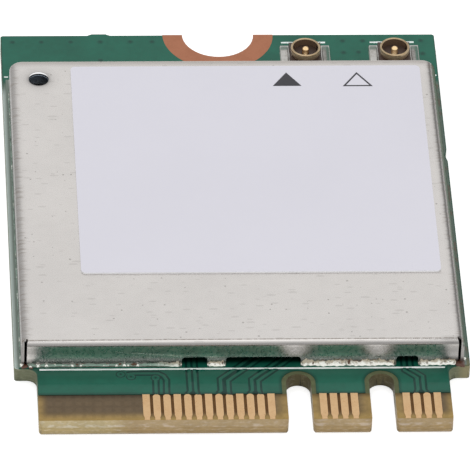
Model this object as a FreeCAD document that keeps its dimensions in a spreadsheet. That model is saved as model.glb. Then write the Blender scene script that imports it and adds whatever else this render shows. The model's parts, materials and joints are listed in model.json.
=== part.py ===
"""Wireless card for an M.2 socket, 22 mm wide and 30 mm long, keyed for positions A and E.

The card lies flat. +X runs along the contact row, +Y from the tongue's tip to the screw notch and
+Z up through the shield can. The sketches measure Y from the tongue's tip and Z from the card's
underside, and each sub-part's Placement then centres the card on the origin.
"""
import FreeCAD, Part
import math
import os
import re
from typing import NamedTuple

import Sketcher

# Name, value in millimetres and meaning of each driving dimension.
SIZES = [
    ("contact_pitch", 0.5, "spacing of neighbouring contacts on one face"),
    ("contact_width", 0.35, "width of a contact"),
    ("contact_tail_width", 0.25, "width of the tail that runs from a contact to the tip's bevel"),
    ("contact_tail", 0.16, "length of that tail"),
    ("contact_taper", 0.18, "length over which a contact narrows to its tail"),
    ("contact_setback", 0.2, "bare strip between the tip and the tails"),
    ("tongue_edge", 0.675, "outermost contact position to the tongue's side"),
    ("shoulder_step", 1.075, "tongue's side to the board's side"),
    ("shoulder_depth", 4.0, "tip to the shoulders"),
    ("shoulder_radius", 0.5, "inner corner between tongue and shoulder"),
    ("notch_width", 1.2, "width of a key notch"),
    ("notch_depth", 3.5, "tip to the round end of a key notch"),
    ("notch_rim", 0.22, "bare rim around a key notch"),
    ("tip_corner", 0.28, "rounding of the tongue's corners"),
    ("bevel_run", 0.19, "length of the tip's lead-in bevel"),
    ("bevel_drop", 0.25, "height of the tip's lead-in bevel"),
    ("under_bevel_run", 0.06, "length of the smaller bevel on the tip's underside"),
    ("under_bevel_drop", 0.12, "height of that bevel"),
    ("nick_line", 20.15, "tip to the nick in the right side, where the board was snapped from its panel"),
    ("nick_depth", 0.1, "depth of the nick"),
    ("nick_behind", 0.55, "length of the nick's slope behind its deepest point"),
    ("nick_before", 0.4, "length of the nick's slope in front of its deepest point"),
    ("board_length", 30.0, "tip to the mounting edge"),
    ("board_thickness", 0.8, "board with its coatings"),
    ("board_corner", 0.15, "rounding of the board's outer corners"),
    ("tab_width", 1.15, "width of the stub left where the board was snapped from its panel"),
    ("tab_crown", 0.7, "width of the stub's outer edge"),
    ("tab_reach", 0.12, "how far the stub stands out"),
    ("tab_offset", 6.03, "stub to the centreline"),
    ("screw_radius", 1.8, "half-round notch for the holding screw"),
    ("land_radius", 2.8, "copper land around the screw notch"),
    ("mask_thickness", 0.03, "solder mask and the copper that lies flush with it"),
    ("mask_margin", 0.05, "bare strip along the board's edges"),
    ("mask_front", 2.05, "tip to the solder mask"),
    ("can_side_margin", 0.32, "board's side to the can's side wall"),
    ("can_front_margin", 0.25, "shoulders to the can's front wall"),
    ("can_back_margin", 3.75, "mounting edge to the can's back wall"),
    ("can_height", 1.37, "shield can above the board"),
    ("sheet_thickness", 0.15, "metal of the shield can"),
    ("bend_radius", 0.22, "outer bend between the can's top and walls"),
    ("can_back_corner", 0.65, "rounding of the can's back corners"),
    ("slit_width", 0.13, "slit between front wall and side wall"),
    ("slit_depth", 0.35, "slit measured back from the front wall"),
    ("slit_flare", 0.06, "widening of the slit at its top"),
    ("track_outside", 0.15, "shield track outside the can's wall"),
    ("track_inside", 0.12, "shield track inside the can's wall"),
    ("gap_height", 0.44, "openings at the foot of the can's walls"),
    ("gap_corner", 0.18, "rounding of those openings"),
    ("narrow_gap_center", -2.32, "first front opening"),
    ("narrow_gap_width", 1.23, "width of the first front opening"),
    ("wide_gap_center", 1.0, "second front opening"),
    ("wide_gap_width", 3.62, "width of the second front opening"),
    ("end_gap_center", 7.95, "third front opening"),
    ("end_gap_width", 1.07, "width of the third front opening"),
    ("feed_gap_width", 0.9, "back openings over the antenna feeds"),
    ("vent_radius", 0.5, "round hole in the can's top"),
    ("vent_side", 1.44, "vent to the can's left wall"),
    ("vent_back", 1.57, "vent to the can's back wall"),
    ("solder_leg", 0.14, "solder fillet at the can's foot"),
    ("label_width", 17.53, "label along X"),
    ("label_length", 16.15, "label along Y"),
    ("label_thickness", 0.08, "label"),
    ("label_corner", 0.25, "rounding of the label's corners"),
    ("label_side", 0.78, "label to the can's right wall"),
    ("label_back", 0.65, "label to the can's back wall"),
    ("socket_edge", 1.8, "mounting edge to the antenna sockets"),
    ("socket_main_x", 4.36, "first antenna socket"),
    ("socket_aux_x", 8.87, "second antenna socket"),
    ("housing_width", 1.6, "socket base along X"),
    ("housing_length", 1.7, "socket base along Y"),
    ("housing_height", 0.22, "socket base"),
    ("ring_radius", 0.75, "outside of the socket's ring"),
    ("ring_wall", 0.11, "wall of the socket's ring"),
    ("ring_height", 0.62, "top of the socket's ring above the board"),
    ("ring_chamfer", 0.03, "edges of the socket's rim"),
    ("undercut_depth", 0.05, "taper under the ring's lip that a plug locks behind"),
    ("undercut_height", 0.12, "height of that taper"),
    ("leg_width", 0.4, "leg between ring and ground foot, along Y"),
    ("foot_length", 1.5, "ground foot along Y"),
    ("foot_reach", 0.42, "ground foot along X"),
    ("foot_thickness", 0.1, "metal of the ground feet"),
    ("socket_clearance", 0.02, "play between the socket's pieces"),
    ("probe_radius", 0.17, "centre contact of a socket"),
    ("probe_chamfer", 0.08, "top edge of the centre contact"),
    ("probe_height", 0.58, "top of the centre contact above the board"),
    ("probe_tail", 1.1, "tail of the centre contact"),
    ("land_margin", 0.03, "antenna land around what is soldered to it"),
    ("chip_size", 8.6, "side of the radio chip"),
    ("chip_height", 0.85, "radio chip"),
    ("chip_offset", -2.2, "radio chip to the centreline"),
    ("package_chamfer", 0.06, "top edges of the moulded packages"),
    ("dimple_radius", 0.35, "first-pin dimple of the radio chip"),
    ("dimple_inset", 0.9, "dimple to the chip's sides"),
    ("dimple_depth", 0.05, "dimple"),
    ("front_end_size", 2.6, "side of an antenna front end"),
    ("front_end_height", 0.7, "antenna front end"),
    ("front_end_back", 3.8, "antenna front end to the can's back wall"),
    ("filter_width", 0.8, "band filter along X"),
    ("filter_length", 1.6, "band filter along Y"),
    ("filter_height", 0.6, "band filter"),
    ("filter_back", 1.35, "band filter to the can's back wall"),
    ("crystal_width", 2.0, "reference crystal along X"),
    ("crystal_length", 2.5, "reference crystal along Y"),
    ("crystal_base", 0.35, "ceramic base of the crystal"),
    ("crystal_lid", 0.2, "metal lid of the crystal"),
    ("crystal_rim", 0.15, "base that shows around the lid"),
    ("crystal_offset", -8.6, "crystal to the centreline"),
    ("coil_width", 2.0, "power inductor along X"),
    ("coil_length", 1.6, "power inductor along Y"),
    ("coil_corner", 0.3, "rounding of the inductor's corners"),
    ("coil_offset", -8.6, "inductor to the centreline"),
    ("coil_front", 4.2, "inductor to the can's front wall"),
    ("lid_clearance", 0.2, "free height above the tallest inner piece"),
    ("memory_width", 2.0, "settings memory along X"),
    ("memory_length", 3.0, "settings memory along Y"),
    ("memory_height", 0.55, "settings memory"),
    ("memory_offset", 5.6, "settings memory to the centreline"),
    ("passive_length", 1.0, "small capacitor or resistor"),
    ("passive_width", 0.5, "small capacitor or resistor across its ends"),
    ("passive_cap", 0.22, "metal end of a small part"),
    ("passive_waist", 0.03, "how far its body stays inside its ends"),
    ("capacitor_height", 0.5, "small capacitor"),
    ("resistor_height", 0.35, "small resistor"),
    ("passive_spacing", 1.4, "spacing of the small parts in a row"),
    ("capacitor_gap", 0.7, "capacitor row to the radio chip"),
    ("resistor_front", 2.0, "resistor row to the can's front wall"),
]

SHEET = "Sizes"
SIZE_NAMES = {name for name, _, _ in SIZES}

# The contact row is centred on position 38 and its outermost contact is number 1.
ROW_MIDDLE = 38
ROW_END = 1


def contact_x(number):
    """Place of a contact number along the row."""
    return f"(({ROW_MIDDLE} - {number}) * contact_pitch / 2)"


# Lines of the design that several pieces share, as formulas on the sizes.
HALF_TONGUE = f"({contact_x(ROW_END)} + tongue_edge)"
HALF_BOARD = f"({HALF_TONGUE} + shoulder_step)"
CORE_TOP = "(board_thickness - mask_thickness)"
CAN_SIDE = f"({HALF_BOARD} - can_side_margin)"
CAN_FRONT = "(shoulder_depth + can_front_margin)"
CAN_BACK = "(board_length - can_back_margin)"
CAN_MIDDLE = f"(({CAN_FRONT} + {CAN_BACK}) / 2)"
CAN_TOP = "(board_thickness + can_height)"
FRONT_WALL_END = f"({CAN_SIDE} - sheet_thickness - slit_width)"
SOCKET_LINE = "(board_length - socket_edge)"
RING_INSIDE = "(ring_radius - ring_wall)"
NECK_RADIUS = "(ring_radius - undercut_depth)"
FOOT_START = "(housing_width / 2 + socket_clearance)"
FOOT_END = f"({FOOT_START} + foot_reach)"
CHIP_FRONT = f"({CAN_MIDDLE} - chip_size / 2)"
SPARE = "sheet_thickness"

# Openings at the foot of the front wall, from left to right, as (centre, width).
FRONT_GAPS = [
    ("narrow_gap_center", "narrow_gap_width"),
    ("wide_gap_center", "wide_gap_width"),
    ("end_gap_center", "end_gap_width"),
]
SOCKETS = {"main": "socket_main_x", "aux": "socket_aux_x"}
BACK_GAPS = [(place, "feed_gap_width") for place in SOCKETS.values()]

# Contact numbers: the upper face holds odd ones, the lower face even ones. The two key notches
# stand on the middle of the eight positions that each of them takes away.
KEY_POSITIONS = (11.5, 27.5)


class Run(NamedTuple):
    """Contacts in even steps: the first one's number, how many there are and the pitches between."""

    first: int
    count: int
    pitches: int


BLADES_TOP = [
    Run(first=57, count=5, pitches=3),
    Run(first=23, count=4, pitches=1),
    Run(first=7, count=2, pitches=3),
]
SIGNALS_TOP = [
    Run(first=55, count=4, pitches=3),
    Run(first=53, count=4, pitches=3),
    Run(first=5, count=2, pitches=1),
]
BLADES_BOTTOM = [
    Run(first=74, count=22, pitches=1),
    Run(first=22, count=4, pitches=1),
    Run(first=6, count=3, pitches=1),
]
CAPACITOR_COUNT = 6
RESISTOR_COUNT = 5

doc = FreeCAD.newDocument("wireless_card")
sheet = doc.addObject("Spreadsheet::Sheet", SHEET)
sub_parts = []


def fill_sheet():
    """Write each size to the sheet as name, value and meaning, with the name as the value's alias."""
    for row, (name, value, meaning) in enumerate(SIZES, 1):
        sheet.set(f"A{row}", name)
        sheet.set(f"B{row}", str(value))
        sheet.set(f"C{row}", meaning)
        sheet.setAlias(f"B{row}", name)
    doc.recompute()


def formula(text):
    """Put the sheet's name before each size that the text names."""
    return re.sub(
        r"[a-z_]+",
        lambda word: f"{SHEET}.{word.group()}" if word.group() in SIZE_NAMES else word.group(),
        text,
    )


def bind(item, name, text):
    """Tie a property of an object to a formula on the sizes."""
    item.setExpression(name, formula(text))


def centre(item):
    """Move a piece so that the card's outline is centred on the origin, stub included."""
    bind(item, "Placement.Base.y", "-(board_length + tab_reach) / 2")


def new_body(label, kept=True):
    """Start the body of one piece, which may hold several separate solids."""
    body = doc.addObject("PartDesign::Body", label)
    body.Label = label
    body.AllowCompound = True
    centre(body)
    if kept:
        sub_parts.append(body)
    return body


def new_sketch(body, plane, level, across="0"):
    """Put a sketch on an origin plane of the body, moved along the plane's normal and first axis."""
    sketch = body.newObject("Sketcher::SketchObject", "Sketch")
    support = next(item for item in body.Origin.OriginFeatures if item.Role == plane)
    sketch.AttachmentSupport = (support, [""])
    sketch.MapMode = "FlatFace"
    bind(sketch, "AttachmentOffset.Base.z", level)
    bind(sketch, "AttachmentOffset.Base.x", across)
    return sketch


def draw_outline(sketch, corners):
    """Draw a closed outline whose corners lie at the given pairs of formulas."""
    count = len(corners)
    turn = 2 * math.pi / count
    start = [FreeCAD.Vector(math.cos(turn * i), math.sin(turn * i), 0) for i in range(count)]
    lines = [
        sketch.addGeometry(Part.LineSegment(start[i], start[(i + 1) % count]), False)
        for i in range(count)
    ]
    for line, following in zip(lines, lines[1:] + lines[:1]):
        sketch.addConstraint(Sketcher.Constraint("Coincident", line, 2, following, 1))
    for line, (across, along) in zip(lines, corners):
        place_point(sketch, line, 1, across, along)


def draw_rectangle(sketch, left, right, bottom, top):
    """Draw a rectangle between four formulas."""
    draw_outline(sketch, [(left, bottom), (right, bottom), (right, top), (left, top)])


def draw_block(sketch, across, along, width, length):
    """Draw a rectangle of a width and length about a centre."""
    draw_rectangle(
        sketch,
        f"{across} - {width} / 2",
        f"{across} + {width} / 2",
        f"{along} - {length} / 2",
        f"{along} + {length} / 2",
    )


def draw_circle(sketch, across, along, radius):
    """Draw a circle about a centre."""
    round_line = Part.Circle(FreeCAD.Vector(0, 0, 0), FreeCAD.Vector(0, 0, 1), 1)
    circle = sketch.addGeometry(round_line, False)
    place_point(sketch, circle, 3, across, along)
    size = sketch.addConstraint(Sketcher.Constraint("Radius", circle, 1.0))
    bind(sketch, f"Constraints[{size}]", radius)


def place_point(sketch, geometry, point, across, along):
    """Hold a point of a sketch at two formulas, measured from the sketch's origin."""
    for kind, text in (("DistanceX", across), ("DistanceY", along)):
        index = sketch.addConstraint(Sketcher.Constraint(kind, -1, 1, geometry, point, 1.0))
        bind(sketch, f"Constraints[{index}]", text)


def pad(body, sketch, length, symmetric=False):
    """Raise a sketch by a length, or by half of it to each side."""
    feature = body.newObject("PartDesign::Pad", "Pad")
    feature.Profile = sketch
    bind(feature, "Length", length)
    if symmetric:
        feature.SideType = "Symmetric"
    doc.recompute()
    return feature


def revolve(body, sketch):
    """Turn a sketch once round its own second axis."""
    feature = body.newObject("PartDesign::Revolution", "Revolution")
    feature.Profile = sketch
    feature.ReferenceAxis = (sketch, ["V_Axis"])
    feature.Angle = 360
    doc.recompute()
    return feature


def pocket(body, sketch, length=None, reverse=False):
    """Cut a sketch into the body, right through where no length is given, and see that it cuts."""
    before = body.Shape.Volume
    feature = body.newObject("PartDesign::Pocket", "Pocket")
    feature.Profile = sketch
    if length is None:
        feature.Type = "ThroughAll"
        feature.SideType = "Symmetric"
    else:
        bind(feature, "Length", length)
        feature.Reversed = reverse
    doc.recompute()
    if not body.Shape.Volume < before:
        raise RuntimeError(f"{body.Label}: a pocket cuts nothing")
    return feature


def dress(body, kind, test, size):
    """Fillet or chamfer the edges of the body's last feature that pass a test."""
    base = body.Tip
    edges = [f"Edge{i}" for i, edge in enumerate(base.Shape.Edges, 1) if test(edge)]
    if not edges:
        raise RuntimeError(f"{body.Label}: no edge to dress")
    feature = body.newObject(f"PartDesign::{kind}", kind)
    feature.Base = (base, edges)
    bind(feature, "Radius" if kind == "Fillet" else "Size", size)
    doc.recompute()
    return feature


def hollow_out(body, thickness):
    """Leave a wall of one thickness behind the body's faces and open it at its lowest face."""
    base = body.Tip
    floor = base.Shape.BoundBox.ZMin
    names = [f"Face{i}" for i, face in enumerate(base.Shape.Faces, 1) if at_level(floor)(face)]
    feature = body.newObject("PartDesign::Thickness", "Thickness")
    feature.Base = (base, names)
    feature.Reversed = True
    bind(feature, "Value", thickness)
    doc.recompute()
    if not body.Shape.Volume < base.Shape.Volume:
        raise RuntimeError(f"{body.Label}: the hollow takes nothing away")


def repeat(body, features, count, spacing):
    """Repeat features along +X."""
    pattern = body.newObject("PartDesign::LinearPattern", "LinearPattern")
    pattern.Originals = features
    axis = next(item for item in body.Origin.OriginFeatures if item.Role == "X_Axis")
    pattern.Direction = (axis, [""])
    pattern.Mode = "Spacing"
    pattern.Occurrences = count
    bind(pattern, "Offset", spacing)
    body.Tip = pattern
    doc.recompute()
    return pattern


def same(first, second):
    """Whether two lengths agree."""
    return abs(first - second) < 1e-4


def is_upright(edge):
    """Whether an edge is straight and runs along Z."""
    box = edge.BoundBox
    return box.ZLength > 0 and same(box.XLength, 0) and same(box.YLength, 0)


def is_lengthwise(edge):
    """Whether an edge is straight and runs along Y."""
    box = edge.BoundBox
    return box.YLength > 0 and same(box.XLength, 0) and same(box.ZLength, 0)


def at_level(level):
    """Test for edges and faces that lie flat at a height."""
    return lambda item: same(item.BoundBox.ZMin, level) and same(item.BoundBox.ZMax, level)


def tee_outline(margin, front):
    """Outline of tongue and board, kept inside the laminate by a margin, from a front line on."""
    tongue = f"({HALF_TONGUE} - {margin})"
    side = f"({HALF_BOARD} - {margin})"
    shoulder = f"(shoulder_depth + {margin})"
    back = f"(board_length - {margin})"
    right = [(tongue, front), (tongue, shoulder), (side, shoulder), (side, back)]
    left = [(f"-{across}", along) for across, along in reversed(right)]
    return right + left


def stub_outline(margin):
    """Outline of the stub on the mounting edge, sloped at its ends and kept inside by a margin."""
    root = f"(tab_width / 2 - {margin})"
    crown = f"(tab_crown / 2 - {margin})"
    edge = f"(board_length - {margin})"
    right = [(root, f"{edge} - tab_reach"), (root, edge), (crown, f"{edge} + tab_reach")]
    left = [(f"-{across}", along) for across, along in reversed(right)]
    return [(f"-tab_offset + {across}", along) for across, along in right + left]


def cut_key_notches(body, level, rim):
    """Cut both key notches, round at their inner end and widened all round by a rim."""
    half = f"(notch_width / 2 + {rim})"
    centre_line = "(notch_depth - notch_width / 2)"
    slots = new_sketch(body, "XY_Plane", level)
    for number in KEY_POSITIONS:
        middle = contact_x(number)
        draw_rectangle(slots, f"{middle} - {half}", f"{middle} + {half}", "-notch_width", centre_line)
    pocket(body, slots)
    ends = new_sketch(body, "XY_Plane", level)
    for number in KEY_POSITIONS:
        draw_circle(ends, contact_x(number), centre_line, half)
    pocket(body, ends)


def cut_side_nick(body, level, margin):
    """Cut the nick of the right side, in a body kept inside the laminate by a margin."""
    side = f"({HALF_BOARD} - {margin})"
    beyond = f"({side} + {SPARE})"
    before = "(nick_line - nick_before)"
    behind = "(nick_line + nick_behind)"
    apex = (f"{side} - nick_depth", "nick_line")
    nick = new_sketch(body, "XY_Plane", level)
    draw_outline(nick, [(beyond, before), (beyond, behind), (side, behind), apex, (side, before)])
    pocket(body, nick)


def round_sides(body):
    """Round the upright edges on the body's outermost sides with the board's corner."""
    box = body.Shape.BoundBox

    def on_side(edge):
        x = edge.BoundBox.XMin
        return is_upright(edge) and (same(x, box.XMin) or same(x, box.XMax))

    dress(body, "Fillet", on_side, "board_corner")


def make_circuit_board():
    """Laminate with tongue, shoulders, key notches, screw notch, snapped stub, nick and bevelled tip."""
    body = new_body("circuit_board")
    level = "mask_thickness"
    thickness = f"{CORE_TOP} - mask_thickness"
    blank = new_sketch(body, "XY_Plane", level)
    draw_outline(blank, tee_outline("0", "0"))
    pad(body, blank, thickness)

    half_tongue = max(v.X for v in body.Tip.Shape.Vertexes if same(v.Y, 0))
    dress(
        body,
        "Fillet",
        lambda edge: is_upright(edge)
        and same(abs(edge.BoundBox.XMin), half_tongue)
        and not same(edge.BoundBox.YMin, 0),
        "shoulder_radius",
    )
    round_sides(body)
    cut_key_notches(body, level, "0")
    dress(body, "Fillet", lambda edge: is_upright(edge) and same(edge.BoundBox.YMin, 0), "tip_corner")

    stub = new_sketch(body, "XY_Plane", level)
    draw_outline(stub, stub_outline("0"))
    pad(body, stub, thickness)

    screw = new_sketch(body, "XY_Plane", level)
    draw_circle(screw, "0", "board_length", "screw_radius")
    pocket(body, screw)
    cut_side_nick(body, level, "0")

    bevel = new_sketch(body, "YZ_Plane", "0")
    upper = f"({CORE_TOP} - bevel_drop)"
    lower = f"({level} + under_bevel_drop)"
    draw_outline(bevel, [("0", CORE_TOP), ("bevel_run", CORE_TOP), ("0", upper)])
    draw_outline(bevel, [("0", level), ("under_bevel_run", level), ("0", lower)])
    pocket(body, bevel)


def make_mask(label, level, kept):
    """Solder mask of one face, kept off the edges, the contacts, the notches and the screw land."""
    body = new_body(label, kept)
    film = new_sketch(body, "XY_Plane", level)
    draw_outline(film, tee_outline("mask_margin", "mask_front"))
    pad(body, film, "mask_thickness")
    round_sides(body)
    stub = new_sketch(body, "XY_Plane", level)
    draw_outline(stub, stub_outline("mask_margin"))
    pad(body, stub, "mask_thickness")
    cut_key_notches(body, level, "notch_rim")
    cut_side_nick(body, level, "mask_margin")
    land = new_sketch(body, "XY_Plane", level)
    draw_circle(land, "0", "board_length", "land_radius")
    pocket(body, land)
    return body


def make_mask_with_windows(label, blank, openings):
    """Solder mask with a window around each copper piece that stays bare."""
    tool = doc.addObject("Part::MultiFuse", f"{label}_windows")
    tool.Shapes = openings
    cut = doc.addObject("Part::Cut", label)
    cut.Label = label
    cut.Base = blank
    cut.Tool = tool
    sub_parts.append(cut)
    doc.recompute()


def make_contacts(label, level, blades, signals):
    """Row of gold contacts, narrowed to tails at the tip, and round where a track leaves a signal contact."""
    body = new_body(label)
    half = "contact_width / 2"
    tail = "contact_tail_width / 2"
    tail_end = "contact_setback + contact_tail"
    taper_end = f"{tail_end} + contact_taper"
    runs = [(run, False) for run in blades] + [(run, True) for run in signals]
    for run, rounded in runs:
        middle = contact_x(run.first)
        inner_end = f"(mask_front - {half})" if rounded else "mask_front"
        side = [(tail, "contact_setback"), (tail, tail_end), (half, taper_end), (half, inner_end)]
        right = [(f"{middle} + {across}", along) for across, along in side]
        left = [(f"{middle} - {across}", along) for across, along in reversed(side)]
        blade = new_sketch(body, "XY_Plane", level)
        draw_outline(blade, right + left)
        originals = [pad(body, blade, "mask_thickness")]
        if rounded:
            crown = new_sketch(body, "XY_Plane", level)
            draw_circle(crown, middle, inner_end, half)
            originals.append(pad(body, crown, "mask_thickness"))
        repeat(body, originals, run.count, f"{run.pitches} * contact_pitch")


def make_screw_land(label, level):
    """Half ring of copper around the screw notch."""
    body = new_body(label)
    ring = new_sketch(body, "XY_Plane", level)
    draw_circle(ring, "0", "board_length", "land_radius")
    draw_circle(ring, "0", "board_length", "screw_radius")
    pad(body, ring, "mask_thickness")
    beyond = new_sketch(body, "XY_Plane", level)
    draw_rectangle(
        beyond, "-2 * land_radius", "2 * land_radius", "board_length", "board_length + 2 * land_radius"
    )
    pocket(body, beyond)


def draw_gaps(sketch, gaps, bottom, top):
    """Draw a rectangle for each opening in a wall."""
    for middle, width in gaps:
        draw_rectangle(sketch, f"{middle} - {width} / 2", f"{middle} + {width} / 2", bottom, top)


def make_shield_track():
    """Copper frame that the can stands on, open where tracks cross under the walls."""
    body = new_body("shield_track")
    frame = new_sketch(body, "XY_Plane", CORE_TOP)
    inner = "(sheet_thickness + track_inside)"
    for offset in ("track_outside", f"(-{inner})"):
        draw_rectangle(
            frame,
            f"-({CAN_SIDE} + {offset})",
            f"{CAN_SIDE} + {offset}",
            f"{CAN_FRONT} - {offset}",
            f"{CAN_BACK} + {offset}",
        )
    pad(body, frame, "mask_thickness")
    openings = new_sketch(body, "XY_Plane", CORE_TOP)
    draw_gaps(openings, FRONT_GAPS, f"{CAN_FRONT} - 2 * track_outside", f"{CAN_FRONT} + 2 * {inner}")
    draw_gaps(openings, BACK_GAPS, f"{CAN_BACK} - 2 * {inner}", f"{CAN_BACK} + 2 * track_outside")
    pocket(body, openings)
    return body


def make_antenna_lands():
    """Copper lands under the ground feet and the signal tail of each antenna socket."""
    body = new_body("antenna_lands")
    lands = new_sketch(body, "XY_Plane", CORE_TOP)
    for place in SOCKETS.values():
        for side in ("-", "+"):
            middle = f"({place} {side} ({FOOT_START} + {FOOT_END}) / 2)"
            draw_block(
                lands,
                middle,
                SOCKET_LINE,
                "(foot_reach + 2 * land_margin)",
                "(foot_length + 2 * land_margin)",
            )
        draw_rectangle(
            lands,
            f"{place} - probe_radius - land_margin",
            f"{place} + probe_radius + land_margin",
            f"{SOCKET_LINE} - probe_tail - land_margin",
            f"{SOCKET_LINE} - housing_length / 2",
        )
    pad(body, lands, "mask_thickness")
    return body


def make_shield_can():
    """Can folded from one sheet: bent top edges, slit front corners and openings at its feet."""
    body = new_body("shield_can")
    block = new_sketch(body, "XY_Plane", "board_thickness")
    draw_rectangle(block, f"-{CAN_SIDE}", CAN_SIDE, CAN_FRONT, CAN_BACK)
    pad(body, block, "can_height")
    box = body.Tip.Shape.BoundBox
    dress(
        body,
        "Fillet",
        lambda edge: is_upright(edge) and same(edge.BoundBox.YMin, box.YMax),
        "can_back_corner",
    )
    dress(body, "Fillet", at_level(box.ZMax), "bend_radius")

    hollow_out(body, "sheet_thickness")
    inset = f"({CAN_SIDE} - sheet_thickness)"

    slits = new_sketch(body, "XZ_Plane", f"-{CAN_FRONT}")
    below = f"board_thickness - {SPARE}"
    above = f"{CAN_TOP} + {SPARE}"
    for side in ("-", ""):
        draw_outline(
            slits,
            [
                (f"{side}{FRONT_WALL_END}", below),
                (f"{side}{inset}", below),
                (f"{side}{inset}", above),
                (f"{side}({FRONT_WALL_END} - slit_flare)", above),
                (f"{side}({FRONT_WALL_END} - slit_flare)", f"{CAN_TOP} - slit_flare / 2"),
                (f"{side}{FRONT_WALL_END}", f"{CAN_TOP} - 2 * slit_flare"),
            ],
        )
    pocket(body, slits, "slit_depth")

    gap_top = sheet.get("board_thickness") + sheet.get("gap_height")
    for gaps, wall, reverse in ((FRONT_GAPS, CAN_FRONT, False), (BACK_GAPS, CAN_BACK, True)):
        openings = new_sketch(body, "XZ_Plane", f"-{wall}")
        draw_gaps(openings, gaps, below, "board_thickness + gap_height")
        pocket(body, openings, f"sheet_thickness + {SPARE}", reverse)
    dress(body, "Fillet", lambda edge: is_lengthwise(edge) and at_level(gap_top)(edge), "gap_corner")

    vent = new_sketch(body, "XY_Plane", CAN_TOP)
    draw_circle(vent, f"-{CAN_SIDE} + vent_side", f"{CAN_BACK} - vent_back", "vent_radius")
    pocket(body, vent, f"sheet_thickness + {SPARE}")


def wall_stretches(gaps, end):
    """Stretches of a wall between its openings, as pairs of formulas from left to right."""
    edges = [f"-{end}"]
    for middle, width in gaps:
        edges += [f"({middle} - {width} / 2)", f"({middle} + {width} / 2)"]
    edges.append(end)
    return list(zip(edges[0::2], edges[1::2]))


def make_shield_solder():
    """Solder fillets along the outside of the can's feet."""
    body = new_body("shield_solder")
    foot = "board_thickness"
    crest = "board_thickness + solder_leg"
    back_end = f"({CAN_SIDE} - can_back_corner)"
    rows = ((FRONT_GAPS, FRONT_WALL_END, CAN_FRONT, "-"), (BACK_GAPS, back_end, CAN_BACK, "+"))
    for gaps, end, wall, side in rows:
        for start, stop in wall_stretches(gaps, end):
            fillet = new_sketch(body, "YZ_Plane", start)
            draw_outline(fillet, [(wall, foot), (f"{wall} {side} solder_leg", foot), (wall, crest)])
            pad(body, fillet, f"{stop} - {start}")
    side_stop = f"({CAN_BACK} - can_back_corner)"
    side_start = f"({CAN_FRONT} + slit_depth)"
    for side in ("-", ""):
        fillet = new_sketch(body, "XZ_Plane", f"-{side_stop}")
        outer = f"{side}({CAN_SIDE} + solder_leg)"
        draw_outline(fillet, [(f"{side}{CAN_SIDE}", foot), (outer, foot), (f"{side}{CAN_SIDE}", crest)])
        pad(body, fillet, f"{side_stop} - {side_start}")


def make_label():
    """Blank label on the can's top."""
    body = new_body("label")
    right = f"({CAN_SIDE} - label_side)"
    back = f"({CAN_BACK} - label_back)"
    paper = new_sketch(body, "XY_Plane", CAN_TOP)
    draw_rectangle(paper, f"{right} - label_width", right, f"{back} - label_length", back)
    pad(body, paper, "label_thickness")
    dress(body, "Fillet", is_upright, "label_corner")


def make_socket_housing(label, place):
    """Insulating base of an antenna socket, with room for the centre contact and its tail."""
    body = new_body(label)
    base = new_sketch(body, "XY_Plane", "board_thickness")
    draw_block(base, place, SOCKET_LINE, "housing_width", "housing_length")
    pad(body, base, "housing_height")
    room = "(probe_radius + socket_clearance)"
    channel = new_sketch(body, "XY_Plane", "board_thickness")
    draw_rectangle(
        channel, f"{place} - {room}", f"{place} + {room}", f"{SOCKET_LINE} - housing_length", SOCKET_LINE
    )
    pocket(body, channel, "foot_thickness + socket_clearance", reverse=True)
    hole = new_sketch(body, "XY_Plane", "board_thickness")
    draw_circle(hole, place, SOCKET_LINE, room)
    pocket(body, hole)

    width = "(leg_width + 2 * socket_clearance)"
    slots = new_sketch(body, "XY_Plane", "board_thickness")
    shafts = new_sketch(body, "XY_Plane", "board_thickness")
    for side in ("-", "+"):
        bottom = f"{SOCKET_LINE} - {width} / 2"
        top = f"{SOCKET_LINE} + {width} / 2"
        inner = f"{place} {side} ({RING_INSIDE} - socket_clearance)"
        draw_rectangle(slots, inner, f"{place} {side} housing_width", bottom, top)
        draw_rectangle(shafts, inner, f"{place} {side} ({NECK_RADIUS} + socket_clearance)", bottom, top)
    pocket(body, slots, "foot_thickness + socket_clearance", reverse=True)
    pocket(body, shafts)


def make_socket_shell(label, place):
    """Ring of an antenna socket, on two legs that pass through its base to the ground feet."""
    body = new_body(label)
    seat = "(board_thickness + housing_height)"
    rim = "(board_thickness + ring_height)"
    ring = new_sketch(body, "XZ_Plane", f"-{SOCKET_LINE}", place)
    draw_outline(
        ring,
        [
            (RING_INSIDE, seat),
            (NECK_RADIUS, seat),
            ("ring_radius", f"{seat} + undercut_height"),
            ("ring_radius", f"{rim} - ring_chamfer"),
            ("ring_radius - ring_chamfer", rim),
            (f"{RING_INSIDE} + ring_chamfer", rim),
            (RING_INSIDE, f"{rim} - ring_chamfer"),
        ],
    )
    revolve(body, ring)

    foot_top = "(board_thickness + foot_thickness)"
    legs = new_sketch(body, "XZ_Plane", f"-{SOCKET_LINE}", place)
    for side in ("-", ""):
        draw_outline(
            legs,
            [
                (f"{side}{RING_INSIDE}", seat),
                (f"{side}{RING_INSIDE}", "board_thickness"),
                (f"{side}{FOOT_END}", "board_thickness"),
                (f"{side}{FOOT_END}", foot_top),
                (f"{side}{NECK_RADIUS}", foot_top),
                (f"{side}{NECK_RADIUS}", seat),
            ],
        )
    pad(body, legs, "leg_width", symmetric=True)

    feet = new_sketch(body, "XY_Plane", "board_thickness")
    for side in ("-", "+"):
        middle = f"({place} {side} ({FOOT_START} + {FOOT_END}) / 2)"
        draw_block(feet, middle, SOCKET_LINE, "foot_reach", "foot_length")
    pad(body, feet, "foot_thickness")


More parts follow.
